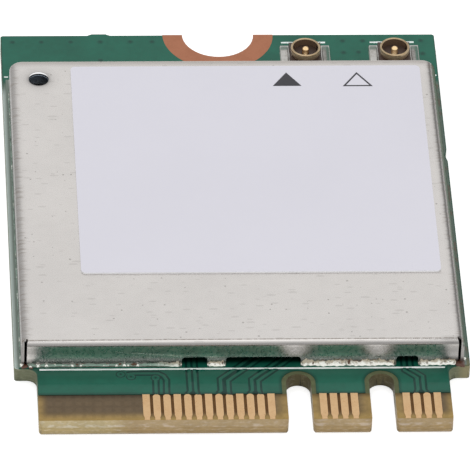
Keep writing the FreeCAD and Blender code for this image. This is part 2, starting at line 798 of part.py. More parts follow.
def make_socket_probe(label, place):
    """Centre contact of an antenna socket and its tail, which reaches out in front of the base."""
    body = new_body(label)
    tail = new_sketch(body, "XY_Plane", "board_thickness")
    draw_rectangle(
        tail, f"{place} - probe_radius", f"{place} + probe_radius", f"{SOCKET_LINE} - probe_tail", SOCKET_LINE
    )
    pad(body, tail, "foot_thickness")
    pin = new_sketch(body, "XY_Plane", "board_thickness")
    draw_circle(pin, place, SOCKET_LINE, "probe_radius")
    pad(body, pin, "probe_height")
    top = body.Tip.Shape.BoundBox.ZMax
    dress(body, "Chamfer", at_level(top), "probe_chamfer")


def make_package(label, place, line, width, length, height):
    """Moulded package with chamfered top edges."""
    body = new_body(label)
    outline = new_sketch(body, "XY_Plane", "board_thickness")
    draw_block(outline, place, line, width, length)
    pad(body, outline, height)
    top = body.Tip.Shape.BoundBox.ZMax
    dress(body, "Chamfer", at_level(top), "package_chamfer")
    return body


def make_radio_chip():
    """Radio chip in the middle of the can, with a dimple at its first pin."""
    body = make_package("radio_chip", "chip_offset", CAN_MIDDLE, "chip_size", "chip_size", "chip_height")
    dimple = new_sketch(body, "XY_Plane", "board_thickness + chip_height")
    draw_circle(
        dimple,
        "chip_offset - chip_size / 2 + dimple_inset",
        f"{CHIP_FRONT} + dimple_inset",
        "dimple_radius",
    )
    pocket(body, dimple, "dimple_depth")


def make_crystal():
    """Reference crystal: a ceramic base closed by a metal lid."""
    body = new_body("reference_crystal")
    base = new_sketch(body, "XY_Plane", "board_thickness")
    draw_block(base, "crystal_offset", CAN_MIDDLE, "crystal_width", "crystal_length")
    pad(body, base, "crystal_base")
    lid = new_sketch(body, "XY_Plane", "board_thickness + crystal_base")
    draw_block(
        lid,
        "crystal_offset",
        CAN_MIDDLE,
        "(crystal_width - 2 * crystal_rim)",
        "(crystal_length - 2 * crystal_rim)",
    )
    pad(body, lid, "crystal_lid")


def make_inductor():
    """Power inductor, the tallest piece under the can."""
    body = new_body("power_inductor")
    block = new_sketch(body, "XY_Plane", "board_thickness")
    draw_block(block, "coil_offset", f"({CAN_FRONT} + coil_front)", "coil_width", "coil_length")
    pad(body, block, "can_height - sheet_thickness - lid_clearance")
    dress(body, "Fillet", is_upright, "coil_corner")


def make_passives(label, count, place, line, height):
    """Row of small two-ended parts whose metal ends stand a little proud of their bodies."""
    body = new_body(label)
    half_length = "passive_length / 2"
    waist_end = "(passive_length / 2 - passive_cap)"
    ends = "passive_width / 2"
    waist = "(passive_width / 2 - passive_waist)"
    quarter = [(ends, half_length), (ends, waist_end), (waist, waist_end)]
    right = quarter + [(across, f"-{along}") for across, along in reversed(quarter)]
    left = [(f"-{across}", f"-{along}") for across, along in right]
    outline = [(f"{place} + {across}", f"{line} + {along}") for across, along in right]
    outline += [(f"{place} + {across}", f"{line} + {along}") for across, along in left]
    sketch = new_sketch(body, "XY_Plane", "board_thickness")
    draw_outline(sketch, outline)
    first = pad(body, sketch, height)
    repeat(body, [first], count, "passive_spacing")


def make_inner_parts():
    """Pieces that the can covers: radio, memory, crystal, coil, antenna front ends and small parts."""
    make_radio_chip()
    make_crystal()
    make_inductor()
    make_package(
        "settings_memory", "memory_offset", CAN_MIDDLE, "memory_width", "memory_length", "memory_height"
    )
    for name, place in SOCKETS.items():
        make_package(
            f"front_end_{name}",
            place,
            f"({CAN_BACK} - front_end_back)",
            "front_end_size",
            "front_end_size",
            "front_end_height",
        )
        make_package(
            f"band_filter_{name}",
            place,
            f"({CAN_BACK} - filter_back)",
            "filter_width",
            "filter_length",
            "filter_height",
        )
    row_start = "(chip_offset - chip_size / 2 + passive_width / 2)"
    chip_row = f"({CHIP_FRONT} - capacitor_gap - passive_length / 2)"
    front_row = f"({CAN_FRONT} + resistor_front)"
    make_passives("bypass_capacitors", CAPACITOR_COUNT, row_start, chip_row, "capacitor_height")
    make_passives("line_resistors", RESISTOR_COUNT, row_start, front_row, "resistor_height")


def make_card():
    """Build every piece of the card from the board up."""
    make_circuit_board()
    make_mask("solder_mask_bottom", "0", kept=True)
    make_contacts("contacts_bottom", "0", BLADES_BOTTOM, [])
    make_contacts("contacts_top", CORE_TOP, BLADES_TOP, SIGNALS_TOP)
    make_screw_land("screw_land_bottom", "0")
    make_screw_land("screw_land_top", CORE_TOP)
    blank = make_mask("solder_mask_blank", CORE_TOP, kept=False)
    copper = [make_shield_track(), make_antenna_lands()]
    make_mask_with_windows("solder_mask_top", blank, copper)
    make_shield_can()
    make_shield_solder()
    make_label()
    for name, place in SOCKETS.items():
        make_socket_housing(f"antenna_socket_{name}_housing", place)
        make_socket_shell(f"antenna_socket_{name}_shell", place)
        make_socket_probe(f"antenna_socket_{name}_probe", place)
    make_inner_parts()


def write_parts():
    """Check every object and each piece's shape, then write one STEP file for each piece."""
    doc.recompute()
    for item in doc.Objects:
        if "Invalid" in item.State or "Error" in item.State:
            raise RuntimeError(f"{item.Label}: {item.State}")
    for item in sub_parts:
        if item.Shape.isNull() or not item.Shape.isValid() or not item.Shape.Solids:
            raise RuntimeError(f"{item.Label}: the shape isn't a valid solid")
    os.makedirs("parts", exist_ok=True)
    for item in sub_parts:
        item.Shape.exportStep(f"parts/{item.Label}.step")
        print(item.Label, len(item.Shape.Solids), round(item.Shape.Volume, 4))


fill_sheet()
make_card()
write_parts()
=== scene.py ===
"""Looks of a thin wireless card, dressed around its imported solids.

Lengths are in millimetres until a mesh is made. New pieces count Y from the tip of the contact tongue
and Z from the mask's upper face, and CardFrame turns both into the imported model's own frame. Finishes
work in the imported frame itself.
"""

import json
import logging
import math
from dataclasses import dataclass
from enum import Enum
from typing import Any, Callable, ClassVar, Sequence

import bmesh
import bpy
import numpy as np
from mathutils import Matrix, Vector

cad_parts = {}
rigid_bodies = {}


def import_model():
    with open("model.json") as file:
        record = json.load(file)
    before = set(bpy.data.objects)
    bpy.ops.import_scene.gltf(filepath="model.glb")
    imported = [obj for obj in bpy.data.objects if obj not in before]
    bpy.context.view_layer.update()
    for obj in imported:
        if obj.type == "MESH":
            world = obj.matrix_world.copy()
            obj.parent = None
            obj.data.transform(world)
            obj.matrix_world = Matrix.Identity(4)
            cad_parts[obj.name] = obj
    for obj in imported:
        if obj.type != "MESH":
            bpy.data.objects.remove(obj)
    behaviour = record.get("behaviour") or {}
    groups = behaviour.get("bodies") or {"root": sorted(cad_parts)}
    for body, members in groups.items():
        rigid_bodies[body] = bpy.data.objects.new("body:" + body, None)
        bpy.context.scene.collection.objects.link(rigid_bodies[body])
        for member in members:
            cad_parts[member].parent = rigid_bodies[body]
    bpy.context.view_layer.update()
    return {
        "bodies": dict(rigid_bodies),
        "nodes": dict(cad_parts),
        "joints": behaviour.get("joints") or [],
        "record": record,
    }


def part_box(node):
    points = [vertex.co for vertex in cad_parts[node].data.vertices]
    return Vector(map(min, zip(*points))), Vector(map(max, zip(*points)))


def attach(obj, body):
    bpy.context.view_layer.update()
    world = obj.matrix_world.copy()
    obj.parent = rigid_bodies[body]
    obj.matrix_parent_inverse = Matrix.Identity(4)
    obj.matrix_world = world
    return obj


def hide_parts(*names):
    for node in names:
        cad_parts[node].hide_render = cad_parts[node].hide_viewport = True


LOG = logging.getLogger("wireless_card")
MM = 0.001
BODY = "root"

Node = bpy.types.Node
Socket = bpy.types.NodeSocket
Sockets = bpy.types.NodeOutputs
Nodes = dict[str, bpy.types.Object]
Colour = tuple[float, float, float]
Place = tuple[float, float, float]
Point = tuple[float, float]
Pair = tuple[float, float]
Stops = tuple[Pair, ...]
Shape = tuple[np.ndarray, list[np.ndarray]]

# Lines of the card that finishes and pieces share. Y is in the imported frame.
TIP = -15.06
CONTACT_END = 2.05
MASK_START = TIP + CONTACT_END
NOTCHES = (2.625, 6.625)
NOTCH_HALF = 0.6
NOTCH_CENTRE = TIP + 2.9
CAN_HALF = 10.68
CAN_FRONT = -10.81
CAN_BACK = 11.19
CAN_TOP = 2.17
VENT = (-9.24, 9.62, CAN_TOP)
VENT_RADIUS = 0.5
SOCKET_LINE = 13.14
FIRST_SOCKET = 4.36
SOCKET_PITCH = 4.51

# Range that holds most values of a noise
NOISE = (0.3, 0.7)
WHITE = (1.0, 1.0, 1.0)


class Slot(Enum):
    """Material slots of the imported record."""

    LAMINATE = "laminate"
    MASK = "solder_mask"
    GOLD = "contact_gold"
    COPPER = "land_copper"
    TINNED = "tinned_copper"
    SHIELD = "shield_tin"
    SOLDER = "solder"
    LABEL = "label_film"
    INSULATOR = "socket_insulator"
    SOCKET = "socket_gold"
    EPOXY = "package_epoxy"
    CRYSTAL = "crystal_metal"
    FERRITE = "coil_ferrite"
    CERAMIC = "pale_ceramic"
    CAPACITOR = "capacitor_ceramic"
    RESISTOR = "resistor_film"


# Node trees


class Graph:
    """Short way to place and join the nodes of one tree."""

    def __init__(self, tree: bpy.types.NodeTree) -> None:
        """Keep the tree."""
        self.tree = tree

    def feed(self, node: Node, inputs: dict[Any, Any]) -> None:
        """Set a node's inputs.

        Args:
            node: the node.
            inputs: socket name or number to a value, or to the output that feeds it.
        """
        for name, value in inputs.items():
            if isinstance(value, Socket):
                self.tree.links.new(value, node.inputs[name])
            else:
                node.inputs[name].default_value = value

    def add(self, kind: str, inputs: dict[Any, Any] | None = None, **settings: Any) -> Node:
        """Place a node.

        Args:
            kind: the node's type, without the leading ShaderNode.
            inputs: what feed takes.
            settings: properties of the node itself.

        Returns:
            The new node.
        """
        node = self.tree.nodes.new("ShaderNode" + kind)
        for name, value in settings.items():
            setattr(node, name, value)
        self.feed(node, inputs or {})
        return node

    def millimetres(self) -> Socket:
        """Object coordinates in millimetres."""
        return self.stretched(self.add("TexCoord").outputs["Object"], (1 / MM,) * 3)

    def axes(self, vector: Socket) -> Sockets:
        """The X, Y and Z of a vector."""
        return self.add("SeparateXYZ", {"Vector": vector}).outputs

    def facing(self, kind: str = "Normal") -> Sockets:
        """The X, Y and Z of the surface's normal."""
        return self.axes(self.add("NewGeometry").outputs[kind])

    def stretched(self, vector: Socket, scale: Sequence[float]) -> Socket:
        """Coordinates stretched by a scale on each axis."""
        return self.add("Mapping", {"Vector": vector, "Scale": scale}).outputs["Vector"]

    def noise(self, vector: Socket, scale: Any, detail: float = 2.0) -> Socket:
        """Noise value around a half."""
        return self.add("TexNoise", {"Vector": vector, "Scale": scale, "Detail": detail}).outputs["Fac"]

    def attribute(self, name: str) -> Socket:
        """The value of a point attribute."""
        return self.add("Attribute", attribute_name=name).outputs["Fac"]

    def math(self, operation: str, first: Any, second: Any = 0.0) -> Socket:
        """One operation on one or two values."""
        return self.add("Math", {0: first, 1: second}, operation=operation).outputs[0]

    def times(self, first: Any, *others: Any) -> Any:
        """The product of several values."""
        for other in others:
            first = self.math("MULTIPLY", first, other)
        return first

    def less(self, first: Any, second: Any) -> Socket:
        """One value less another."""
        return self.math("SUBTRACT", first, second)

    def apart(self, value: Any, line: float) -> Socket:
        """Distance of a value from a line, on either side."""
        return self.math("ABSOLUTE", self.less(value, line))

    def fade(self, value: Any, low: float, high: float, to_low: float = 0.0, to_high: float = 1.0) -> Socket:
        """Carry a value smoothly from one range to another, and hold it at the ends."""
        span = {"Value": value, "From Min": low, "From Max": high, "To Min": to_low, "To Max": to_high}
        return self.add("MapRange", span, interpolation_type="SMOOTHSTEP").outputs["Result"]

    def between(self, value: Any, start: float, stop: float) -> Socket:
        """Carry a value that goes from 0 to 1 to another range."""
        return self.fade(value, 0.0, 1.0, start, stop)

    def mix(self, factor: Any, first: Any, second: Any, blend: str = "MIX") -> Socket:
        """Mix two colours."""
        first, second = (c if isinstance(c, Socket) else (*c, 1.0) for c in (first, second))
        node = self.add("Mix", {0: factor, 6: first, 7: second}, data_type="RGBA", blend_type=blend)
        return node.outputs[2]

    def tinted(self, mask: Any, colour: Socket, tint: Any) -> Socket:
        """A colour that is multiplied by a tint where a mask is 1."""
        return self.mix(mask, colour, self.mix(1.0, colour, tint, "MULTIPLY"))

    def shade(self, colour: Any, level: Any) -> Socket:
        """A colour times a level."""
        grey = self.add("CombineColor", {0: level, 1: level, 2: level}).outputs[0]
        return self.mix(1.0, colour, grey, "MULTIPLY")

    def ramp(self, value: Any, stops: Stops) -> Socket:
        """A grey level that follows a value between 0 and 1 through stops of place and level."""
        node = self.add("ValToRGB", {"Fac": value})
        elements = node.color_ramp.elements
        while len(elements) < len(stops):
            elements.new(1.0)
        for element, (place, level) in zip(elements, stops):
            element.position = place
            element.color = (level, level, level, 1.0)
        return node.outputs["Color"]

    def bump(self, height: Any, depth: float, strength: float, normal: Socket | None = None) -> Socket:
        """Normal of a surface that rises by depth millimetres where height goes from 0 to 1."""
        inputs = {"Height": height, "Distance": depth * MM, "Strength": strength}
        if normal is not None:
            inputs["Normal"] = normal
        return self.add("Bump", inputs).outputs["Normal"]

    def shared(
        self, name: str, inputs: dict[str, Any], build: Callable[["Graph", Sockets], Socket]
    ) -> Socket:
        """Place a node group, which is made the first time that its name is used.

        Args:
            name: the group's name.
            inputs: socket name to a number, or to the vector that feeds it.
            build: function of the group's graph and input sockets that gives its one output.

        Returns:
            The output, a value between 0 and 1.
        """
        tree = bpy.data.node_groups.get(name)
        if tree is None:
            tree = bpy.data.node_groups.new(name, "ShaderNodeTree")
            for socket, value in inputs.items():
                kind = "NodeSocketVector" if isinstance(value, Socket) else "NodeSocketFloat"
                tree.interface.new_socket(socket, in_out="INPUT", socket_type=kind)
            tree.interface.new_socket("Value", in_out="OUTPUT", socket_type="NodeSocketFloat")
            entry = tree.nodes.new("NodeGroupInput")
            leave = tree.nodes.new("NodeGroupOutput")
            tree.links.new(build(Graph(tree), entry.outputs), leave.inputs["Value"])
        return self.add("Group", inputs, node_tree=tree).outputs["Value"]


def specks(graph: Graph, place: Socket, scale: float, radius: float, share: float) -> Socket:
    """Scattered round specks: near the middle of some cells of a Voronoi pattern.

    Args:
        graph: the nodes that they join.
        place: coordinates in millimetres.
        scale: cells in a millimetre.
        radius: radius of the largest speck, in cells.
        share: share of the cells that hold one.

    Returns:
        1 in a speck and 0 elsewhere.
    """

    def build(inner: Graph, entry: Sockets) -> Socket:
        """Make the group's nodes."""
        cells = inner.add("TexVoronoi", {"Vector": entry["Place"], "Scale": entry["Per millimetre"]}).outputs
        tone = inner.add("SeparateColor", {"Color": cells["Color"]}).outputs
        inside = inner.math("LESS_THAN", cells["Distance"], inner.times(tone["Green"], entry["Radius"]))
        return inner.times(inside, inner.math("LESS_THAN", tone["Red"], entry["Share"]))

    inputs = {"Place": place, "Per millimetre": scale, "Radius": radius, "Share": share}
    return graph.shared("scattered_specks", inputs, build)


def clouds(graph: Graph, place: Socket, scale: float, fine_share: float) -> Socket:
    """Cloudy unevenness: a coarse and a fine noise added.

    Args:
        graph: the nodes that it joins.
        place: coordinates in millimetres.
        scale: scale of the coarse noise, per millimetre.
        fine_share: share of a noise that is six times finer.

    Returns:
        A value around a half.
    """

    def build(inner: Graph, entry: Sockets) -> Socket:
        """Make the group's nodes."""
        coarse = inner.noise(entry["Place"], entry["Per millimetre"])
        fine = inner.noise(entry["Place"], inner.times(entry["Per millimetre"], 6.0), 4.0)
        total = inner.math("ADD", coarse, inner.times(fine, entry["Fine share"]))
        return inner.math("DIVIDE", total, inner.math("ADD", 1.0, entry["Fine share"]))

    inputs = {"Place": place, "Per millimetre": scale, "Fine share": fine_share}
    return graph.shared("cloudy_mottle", inputs, build)


def weave(graph: Graph, place: Socket, thread: float) -> Socket:
    """Glass cloth: crossing threads whose edges show as dark lines, a little uneven.

    Args:
        graph: the nodes that it joins.
        place: coordinates in millimetres.
        thread: width of a thread.

    Returns:
        0 between threads and 1 on them.
    """

    def build(inner: Graph, entry: Sockets) -> Socket:
        """Make the group's nodes."""
        axes = inner.axes(entry["Place"])
        shift = inner.times(inner.noise(entry["Place"], 1.2), 0.5)
        turns = [inner.math("ADD", inner.math("DIVIDE", axes[axis], entry["Thread"]), shift) for axis in "XY"]
        waves = [inner.math("SINE", inner.times(turn, 2 * math.pi)) for turn in turns]
        return inner.times(*(inner.fade(wave, -1.0, 0.4) for wave in waves))

    return graph.shared("glass_weave", {"Place": place, "Thread": thread}, build)


def from_notches(graph: Graph, across: Socket) -> Socket:
    """Distance across the card to the middle of the nearer key notch."""
    return graph.math("MINIMUM", *(graph.apart(across, notch) for notch in NOTCHES))


@dataclass(frozen=True)
class Grain:
    """A noise that is drawn out along some axes.

    Attributes:
        stretch: scale on each axis; the larger it is, the finer the noise along that axis.
        scale: scale of the whole, per millimetre.
        detail: how much finer noise it holds.
    """

    stretch: Place
    scale: float
    detail: float

    def value(self, graph: Graph, place: Socket) -> Socket:
        """The noise's value, around a half."""
        return graph.noise(graph.stretched(place, self.stretch), self.scale, self.detail)


# Finishes

MADE: dict[str, bpy.types.Material] = {}


@dataclass(frozen=True)
class Finish:
    """A finish that makes one material.

    Attributes:
        name: the material's name.
        colour: its main colour, linear.
        roughness: its mean roughness.
        metallic: 1 for metal.
        CLOUD: scale of its clouds, per millimetre, and the share of finer ones in them.
        TONE: shares of the colour in the clouds' dark and light places.
        ROUGH: shares of the roughness between which it follows a noise.
    """

    CLOUD: ClassVar[Pair] = (0.7, 0.6)
    TONE: ClassVar[Pair] = (0.82, 1.16)
    ROUGH: ClassVar[Pair] = (0.8, 1.25)

    name: str
    colour: Colour
    roughness: float
    metallic: float = 0.0

    def material(self) -> bpy.types.Material:
        """Make the material, or find the one made before."""
        if self.name in MADE:
            return MADE[self.name]
        material = bpy.data.materials.new(self.name)
        MADE[self.name] = material
        material.use_nodes = True
        material.diffuse_color = (*self.colour, 1.0)
        shader = material.node_tree.nodes["Principled BSDF"]
        shader.inputs["Metallic"].default_value = self.metallic
        graph = Graph(material.node_tree)
        self.dress(graph, shader, graph.millimetres())
        return material

    def dress(self, graph: Graph, shader: Node, place: Socket) -> None:
        """Feed the shader's colour, roughness and normal.

        Args:
            graph: the material's nodes.
            shader: its Principled BSDF.
            place: Object coordinates in millimetres.
        """
        cloud = clouds(graph, place, *self.CLOUD)
        graph.feed(shader, {"Base Color": self.uneven(graph, cloud)})
        self.rough(graph, shader, cloud)

    def uneven(self, graph: Graph, value: Socket) -> Socket:
        """The colour, which follows a noise from a darker to a lighter share of itself."""
        dark, light = (tuple(min(1.0, c * share) for c in self.colour) for share in self.TONE)
        return graph.mix(graph.fade(value, *NOISE), dark, light)

    def rough(self, graph: Graph, shader: Node, value: Socket) -> None:
        """Let the roughness follow a noise."""
        low, high = (self.roughness * share for share in self.ROUGH)
        level = graph.fade(value, *NOISE, low, high)
        graph.feed(shader, {"Roughness": level})


@dataclass(frozen=True)
class SheetPoint:
    """Where a point of the can lies.

    Attributes:
        place: its coordinates.
        axes: X, Y and Z of those.
        across: distance from the middle line.
        side: distance from the nearer side, a little uneven, times the finish's side_scale.
        drop: depth below the top, in radii of the bends.
    """

    place: Socket
    axes: Sockets
    across: Socket
    side: Socket
    drop: Socket


@dataclass(frozen=True)
class SheetFinish(Finish):
    """Tinned sheet: satin, with a fine grain and small dark pits, darker along its bends from staining and
    painted shade, and with painted highlights, shade and reflection on its front and a painted inside.

    Attributes:
        pit: colour of the pits.
        dull: colour of the darker bends, partly staining and partly painted shade.
        painted_inside_tone: matt bluish colour of the inside of its rear half, painted to stand in for the
        dim light seen there.
        opposite: tint of the front wall where the mask lies before it, a painted reflection of the lacquer.
        mirror: colour of the right bend's lower end, where the lacquer is mirrored.
        right_wall: level of the right wall under its bend, a painted shade.
        front_bend: painted highlight and shade down the front, as shares of the tin's brightness by
        drop_scale of the drop.
        left_bend: painted shade along the left side bend, by side_scale of the distance from the side.
        right_bend: painted shade and highlight along the right side bend, the same way.
        vent_rim_darkening: shares of it round the vent, darker towards the rim, by rim_scale of the
        distance from the rim.
        drop_scale: what brings the drop to a ramp's range.
        side_scale: the same for the distance from the side.
        rim_scale: the same for the distance from the vent's rim.
        painted_shade_wider: how much further the right bend's painted shade reaches at its back end, as
            side_scale counts.
        painted_shade_from: distance behind the front wall where that starts.
        front_end: half of the front wall's length.
        dark_end: X where its right end starts to darken with painted shade and where that is full.
        dark_shares: share that it loses there at the bend and at the foot.
        bend: radius of the bends.
        grain: the sheet's rolled grain.
        streaks: unevenness of the painted shade bands along the side bends.
        wavy: how far that shifts them.
        ticks: short scratches across the side bends.
        crease_unevenness: unevenness of the painted shade along the front bend's crease.
        flecks: cells in a millimetre, radius in cells and share of the long flecks on the top.
        fleck_stretch: scale of the flecks' cells on each axis.
        fleck_strength: how much of the pits' colour a fleck takes.
        pits: cells in a millimetre, radius in cells and share of the pits.
        pit_strength: how much of its colour a pit takes.
    """

    CLOUD: ClassVar[Pair] = (0.3, 0.6)
    TONE: ClassVar[Pair] = (0.97, 1.03)
    ROUGH: ClassVar[Pair] = (0.8, 1.2)
    pit: Colour = (0.20, 0.185, 0.17)
    dull: Colour = (0.19, 0.155, 0.125)
    painted_inside_tone: Colour = (0.36, 0.42, 0.50)
    opposite: Colour = (1.10, 1.34, 1.20)
    mirror: Colour = (0.19, 0.225, 0.19)
    right_wall: Colour = (0.5, 0.5, 0.5)
    front_bend: Stops = (
        (0.0, 1.0), (0.0054, 1.5), (0.018, 1.2), (0.045, 0.82), (0.072, 0.58), (0.108, 0.42), (0.162, 0.48),
        (0.189, 0.9), (0.225, 0.95), (0.261, 0.75), (0.5, 0.72), (0.62, 0.92), (0.75, 1.1), (0.85, 0.75),
        (0.97, 0.5),
    )
    left_bend: Stops = (
        (0.0, 0.47), (0.08, 0.47), (0.16, 0.5), (0.24, 0.55), (0.32, 0.6), (0.4, 0.7), (0.48, 0.82),
        (0.56, 0.89), (0.64, 0.94), (0.8, 0.98), (0.96, 1.0),
    )
    right_bend: Stops = (
        (0.0, 0.2), (0.09, 0.21), (0.125, 0.34), (0.17, 0.6), (0.21, 0.55), (0.26, 0.37), (0.31, 0.22),
        (0.36, 0.34), (0.44, 0.62), (0.5, 0.8), (0.56, 0.9), (0.7, 0.97), (0.8, 1.0),
    )
    vent_rim_darkening: Stops = ((0.0, 0.5), (0.1, 0.7), (0.2, 0.85), (0.4, 0.93), (0.8, 1.0))
    drop_scale: float = 0.18
    side_scale: float = 1.6
    rim_scale: float = 1.25
    painted_shade_wider: float = 0.13
    painted_shade_from: float = 1.8
    front_end: float = 10.43
    dark_end: Pair = (9.4, 9.9)
    dark_shares: Pair = (0.16, 0.48)
    bend: float = 0.22
    grain: Grain = Grain((1.0, 2.5, 1.0), 7.0, 4.0)
    streaks: Grain = Grain((1.0, 5.0, 1.0), 1.5, 4.0)
    wavy: float = 0.014
    ticks: Grain = Grain((0.6, 6.0, 1.0), 1.7, 3.0)
    crease_unevenness: Grain = Grain((5.0, 0.5, 0.5), 1.6, 3.0)
    flecks: Place = (4.5, 0.34, 0.6)
    fleck_stretch: Place = (0.3, 1.1, 1.0)
    fleck_strength: float = 0.16
    pits: Place = (2.9, 0.17, 0.45)
    pit_strength: float = 0.5

    def dress(self, graph: Graph, shader: Node, place: Socket) -> None:
        """Even tin, painted light and shade over it, pits over both, and the painted inside."""
        at = self.point(graph, place)
        metal = self.uneven(graph, clouds(graph, place, *self.CLOUD))
        metal = self.shade_and_scratch_sides(graph, shader, at, metal)
        metal = self.darken_ends(graph, at, metal)
        metal = self.shade_front(graph, at, metal)
        on_top = graph.fade(at.drop, 0.3, 0.1)
        flecks = specks(graph, graph.stretched(place, self.fleck_stretch), *self.flecks)
        metal = graph.mix(graph.times(flecks, graph.times(on_top, self.fleck_strength)), metal, self.pit)
        pits = specks(graph, place, *self.pits)
        metal = graph.mix(graph.times(pits, graph.times(on_top, self.pit_strength)), metal, self.pit)
        # Painted: the inside of the rear half turns matt and bluish, standing in for the dim light inside.
        inside = graph.times(
            graph.math("GREATER_THAN", at.side, 0.1),
            graph.fade(at.drop, 0.45, 0.46),
            graph.math("GREATER_THAN", at.axes["Y"], 0.0),
            graph.math("LESS_THAN", at.axes["Y"], CAN_BACK - 0.06),
        )
        grain = self.grain.value(graph, place)
        self.rough(graph, shader, grain)
        finish = {
            "Base Color": graph.mix(inside, metal, self.painted_inside_tone),
            "Metallic": graph.less(1.0, inside),
            "Normal": graph.bump(graph.times(grain, on_top), 0.001, 0.4),
        }
        graph.feed(shader, finish)

    def point(self, graph: Graph, place: Socket) -> SheetPoint:
        """Work out where a point lies on the can."""
        axes = graph.axes(place)
        across = graph.math("ABSOLUTE", axes["X"])
        shift = graph.fade(self.streaks.value(graph, place), *NOISE, -self.wavy, self.wavy)
        side = graph.math("ADD", graph.less(CAN_HALF, across), shift)
        drop = graph.math("DIVIDE", graph.less(CAN_TOP, axes["Z"]), self.bend)
        return SheetPoint(place, axes, across, graph.times(side, self.side_scale), drop)

    def shade_and_scratch_sides(self, graph: Graph, shader: Node, at: SheetPoint, metal: Socket) -> Socket:
        """Paint shade on both side bends and the lacquer's reflection low on the right one; add scratches.

        Args:
            graph: the material's nodes.
            shader: its Principled BSDF, whose reflection at a flat angle is dimmed with the mirror.
            at: the point's place on the can.
            metal: the colour so far.

        Returns:
            The new colour.
        """
        right = graph.math("GREATER_THAN", at.axes["X"], 0.0)
        wider = graph.fade(at.axes["Y"], CAN_FRONT + self.painted_shade_from, CAN_BACK, 0.0, self.painted_shade_wider)
        # Painted shade: dark and light bands along the side bends, and a grey level on the right wall under
        # its bend.
        painted_light_guide = graph.less(at.side, wider)
        under = graph.fade(at.drop, 1.1, 2.2)
        right_side = graph.mix(under, graph.ramp(painted_light_guide, self.right_bend), self.right_wall)
        sides = graph.mix(right, graph.ramp(at.side, self.left_bend), right_side)
        behind = graph.fade(at.axes["Y"], CAN_FRONT + 0.28, CAN_FRONT + 0.34)
        behind = graph.math("MAXIMUM", behind, graph.math("GREATER_THAN", at.across, self.front_end))
        metal = graph.tinted(behind, metal, sides)
        mirror = graph.times(right, graph.fade(painted_light_guide, 0.15, 0.11), graph.fade(at.drop, 1.3, 1.0), behind)
        graph.feed(shader, {"Specular Tint": graph.mix(mirror, WHITE, self.mirror)})
        metal = graph.mix(mirror, metal, self.mirror)
        ticks = self.ticks.value(graph, at.place)
        ticks = graph.times(graph.fade(ticks, 0.5, 0.68, 0.0, 0.45), graph.fade(at.side, 0.85, 0.4))
        return graph.mix(graph.times(ticks, graph.fade(at.drop, 1.2, 0.8), behind), metal, self.dull)

    def darken_ends(self, graph: Graph, at: SheetPoint, metal: Socket) -> Socket:
        """Darken the vent's rim, the back bend (staining and painted shade) and the crease (painted shade).
        """
        # Darker towards the vent's rim.
        rim = graph.add("VectorMath", {0: at.place, 1: VENT}, operation="DISTANCE").outputs["Value"]
        rim = graph.times(graph.less(rim, VENT_RADIUS), self.rim_scale)
        metal = graph.mix(1.0, metal, graph.ramp(rim, self.vent_rim_darkening), "MULTIPLY")
        # Back bend: the dull colour, partly staining and partly painted shade.
        back = graph.fade(at.axes["Y"], CAN_BACK - 3.0 * self.bend, CAN_BACK - 0.5 * self.bend, 0.0, 0.45)
        metal = graph.mix(back, metal, self.dull)
        # Front crease: a painted dark line of shade, made uneven.
        crease_unevenness = self.crease_unevenness.value(graph, at.place)
        crease = graph.fade(graph.apart(at.axes["Y"], CAN_FRONT + 1.05 * self.bend), 0.06, 0.015, 0.0, 0.7)
        return graph.mix(graph.times(crease, graph.fade(crease_unevenness, 0.3, 0.6, 0.35, 1.0)), metal, self.dull)

    def shade_front(self, graph: Graph, at: SheetPoint, metal: Socket) -> Socket:
        """Paint highlight and shade down the front wall, the mask's reflection, and shade on its right end.
        """
        in_front = graph.fade(at.axes["Y"], CAN_FRONT + 0.5, CAN_FRONT + 0.3)
        in_front = graph.times(in_front, graph.math("LESS_THAN", at.across, self.front_end))
        # Painted highlight and shade down the front bend and wall, by the drop.
        bent = graph.ramp(graph.times(at.drop, self.drop_scale), self.front_bend)
        metal = graph.tinted(in_front, metal, bent)
        # Painted reflection of the green lacquer on the wall where the mask lies before it.
        opposite = graph.times(
            graph.fade(from_notches(graph, at.axes["X"]), 0.5, 1.3),
            graph.fade(at.across, 9.8, 9.0),
            graph.times(in_front, graph.fade(at.drop, 1.0, 1.5)),
            graph.fade(at.drop, 4.9, 3.4),
        )
        metal = graph.tinted(opposite, metal, self.opposite)
        # Painted shade on the wall's right end.
        dark = graph.times(in_front, graph.fade(at.axes["X"], *self.dark_end))
        dark = graph.times(dark, graph.fade(at.drop, 1.0, 5.0, *self.dark_shares))
        return graph.shade(metal, graph.less(1.0, dark))


@dataclass(frozen=True)
class PlatingFinish(Finish):
    """Plated or bare metal with cloudy tarnish.

    Attributes:
        tarnish: colour of the tarnish.
        tarnish_share: how much of it covers the clouds' dark places.
        ripple: depth of its grain.
    """

    CLOUD: ClassVar[Pair] = (1.3, 0.7)
    ROUGH: ClassVar[Pair] = (0.75, 1.3)
    tarnish: Colour = (0.3, 0.16, 0.08)
    tarnish_share: float = 0.2
    ripple: float = 0.003

    def dress(self, graph: Graph, shader: Node, place: Socket) -> None:
        """Metal with tarnish in the clouds' dark places, and a fine grain."""
        cloud = clouds(graph, place, *self.CLOUD)
        self.rough(graph, shader, cloud)
        grain = graph.bump(graph.noise(place, 14.0, 3.0), self.ripple, 0.6)
        graph.feed(shader, {"Base Color": self.tarnished(graph, cloud), "Normal": grain})

    def tarnished(self, graph: Graph, cloud: Socket) -> Socket:
        """The colour with its tarnish."""
        return graph.mix(graph.fade(cloud, 0.62, 0.38, 0.0, self.tarnish_share), self.colour, self.tarnish)


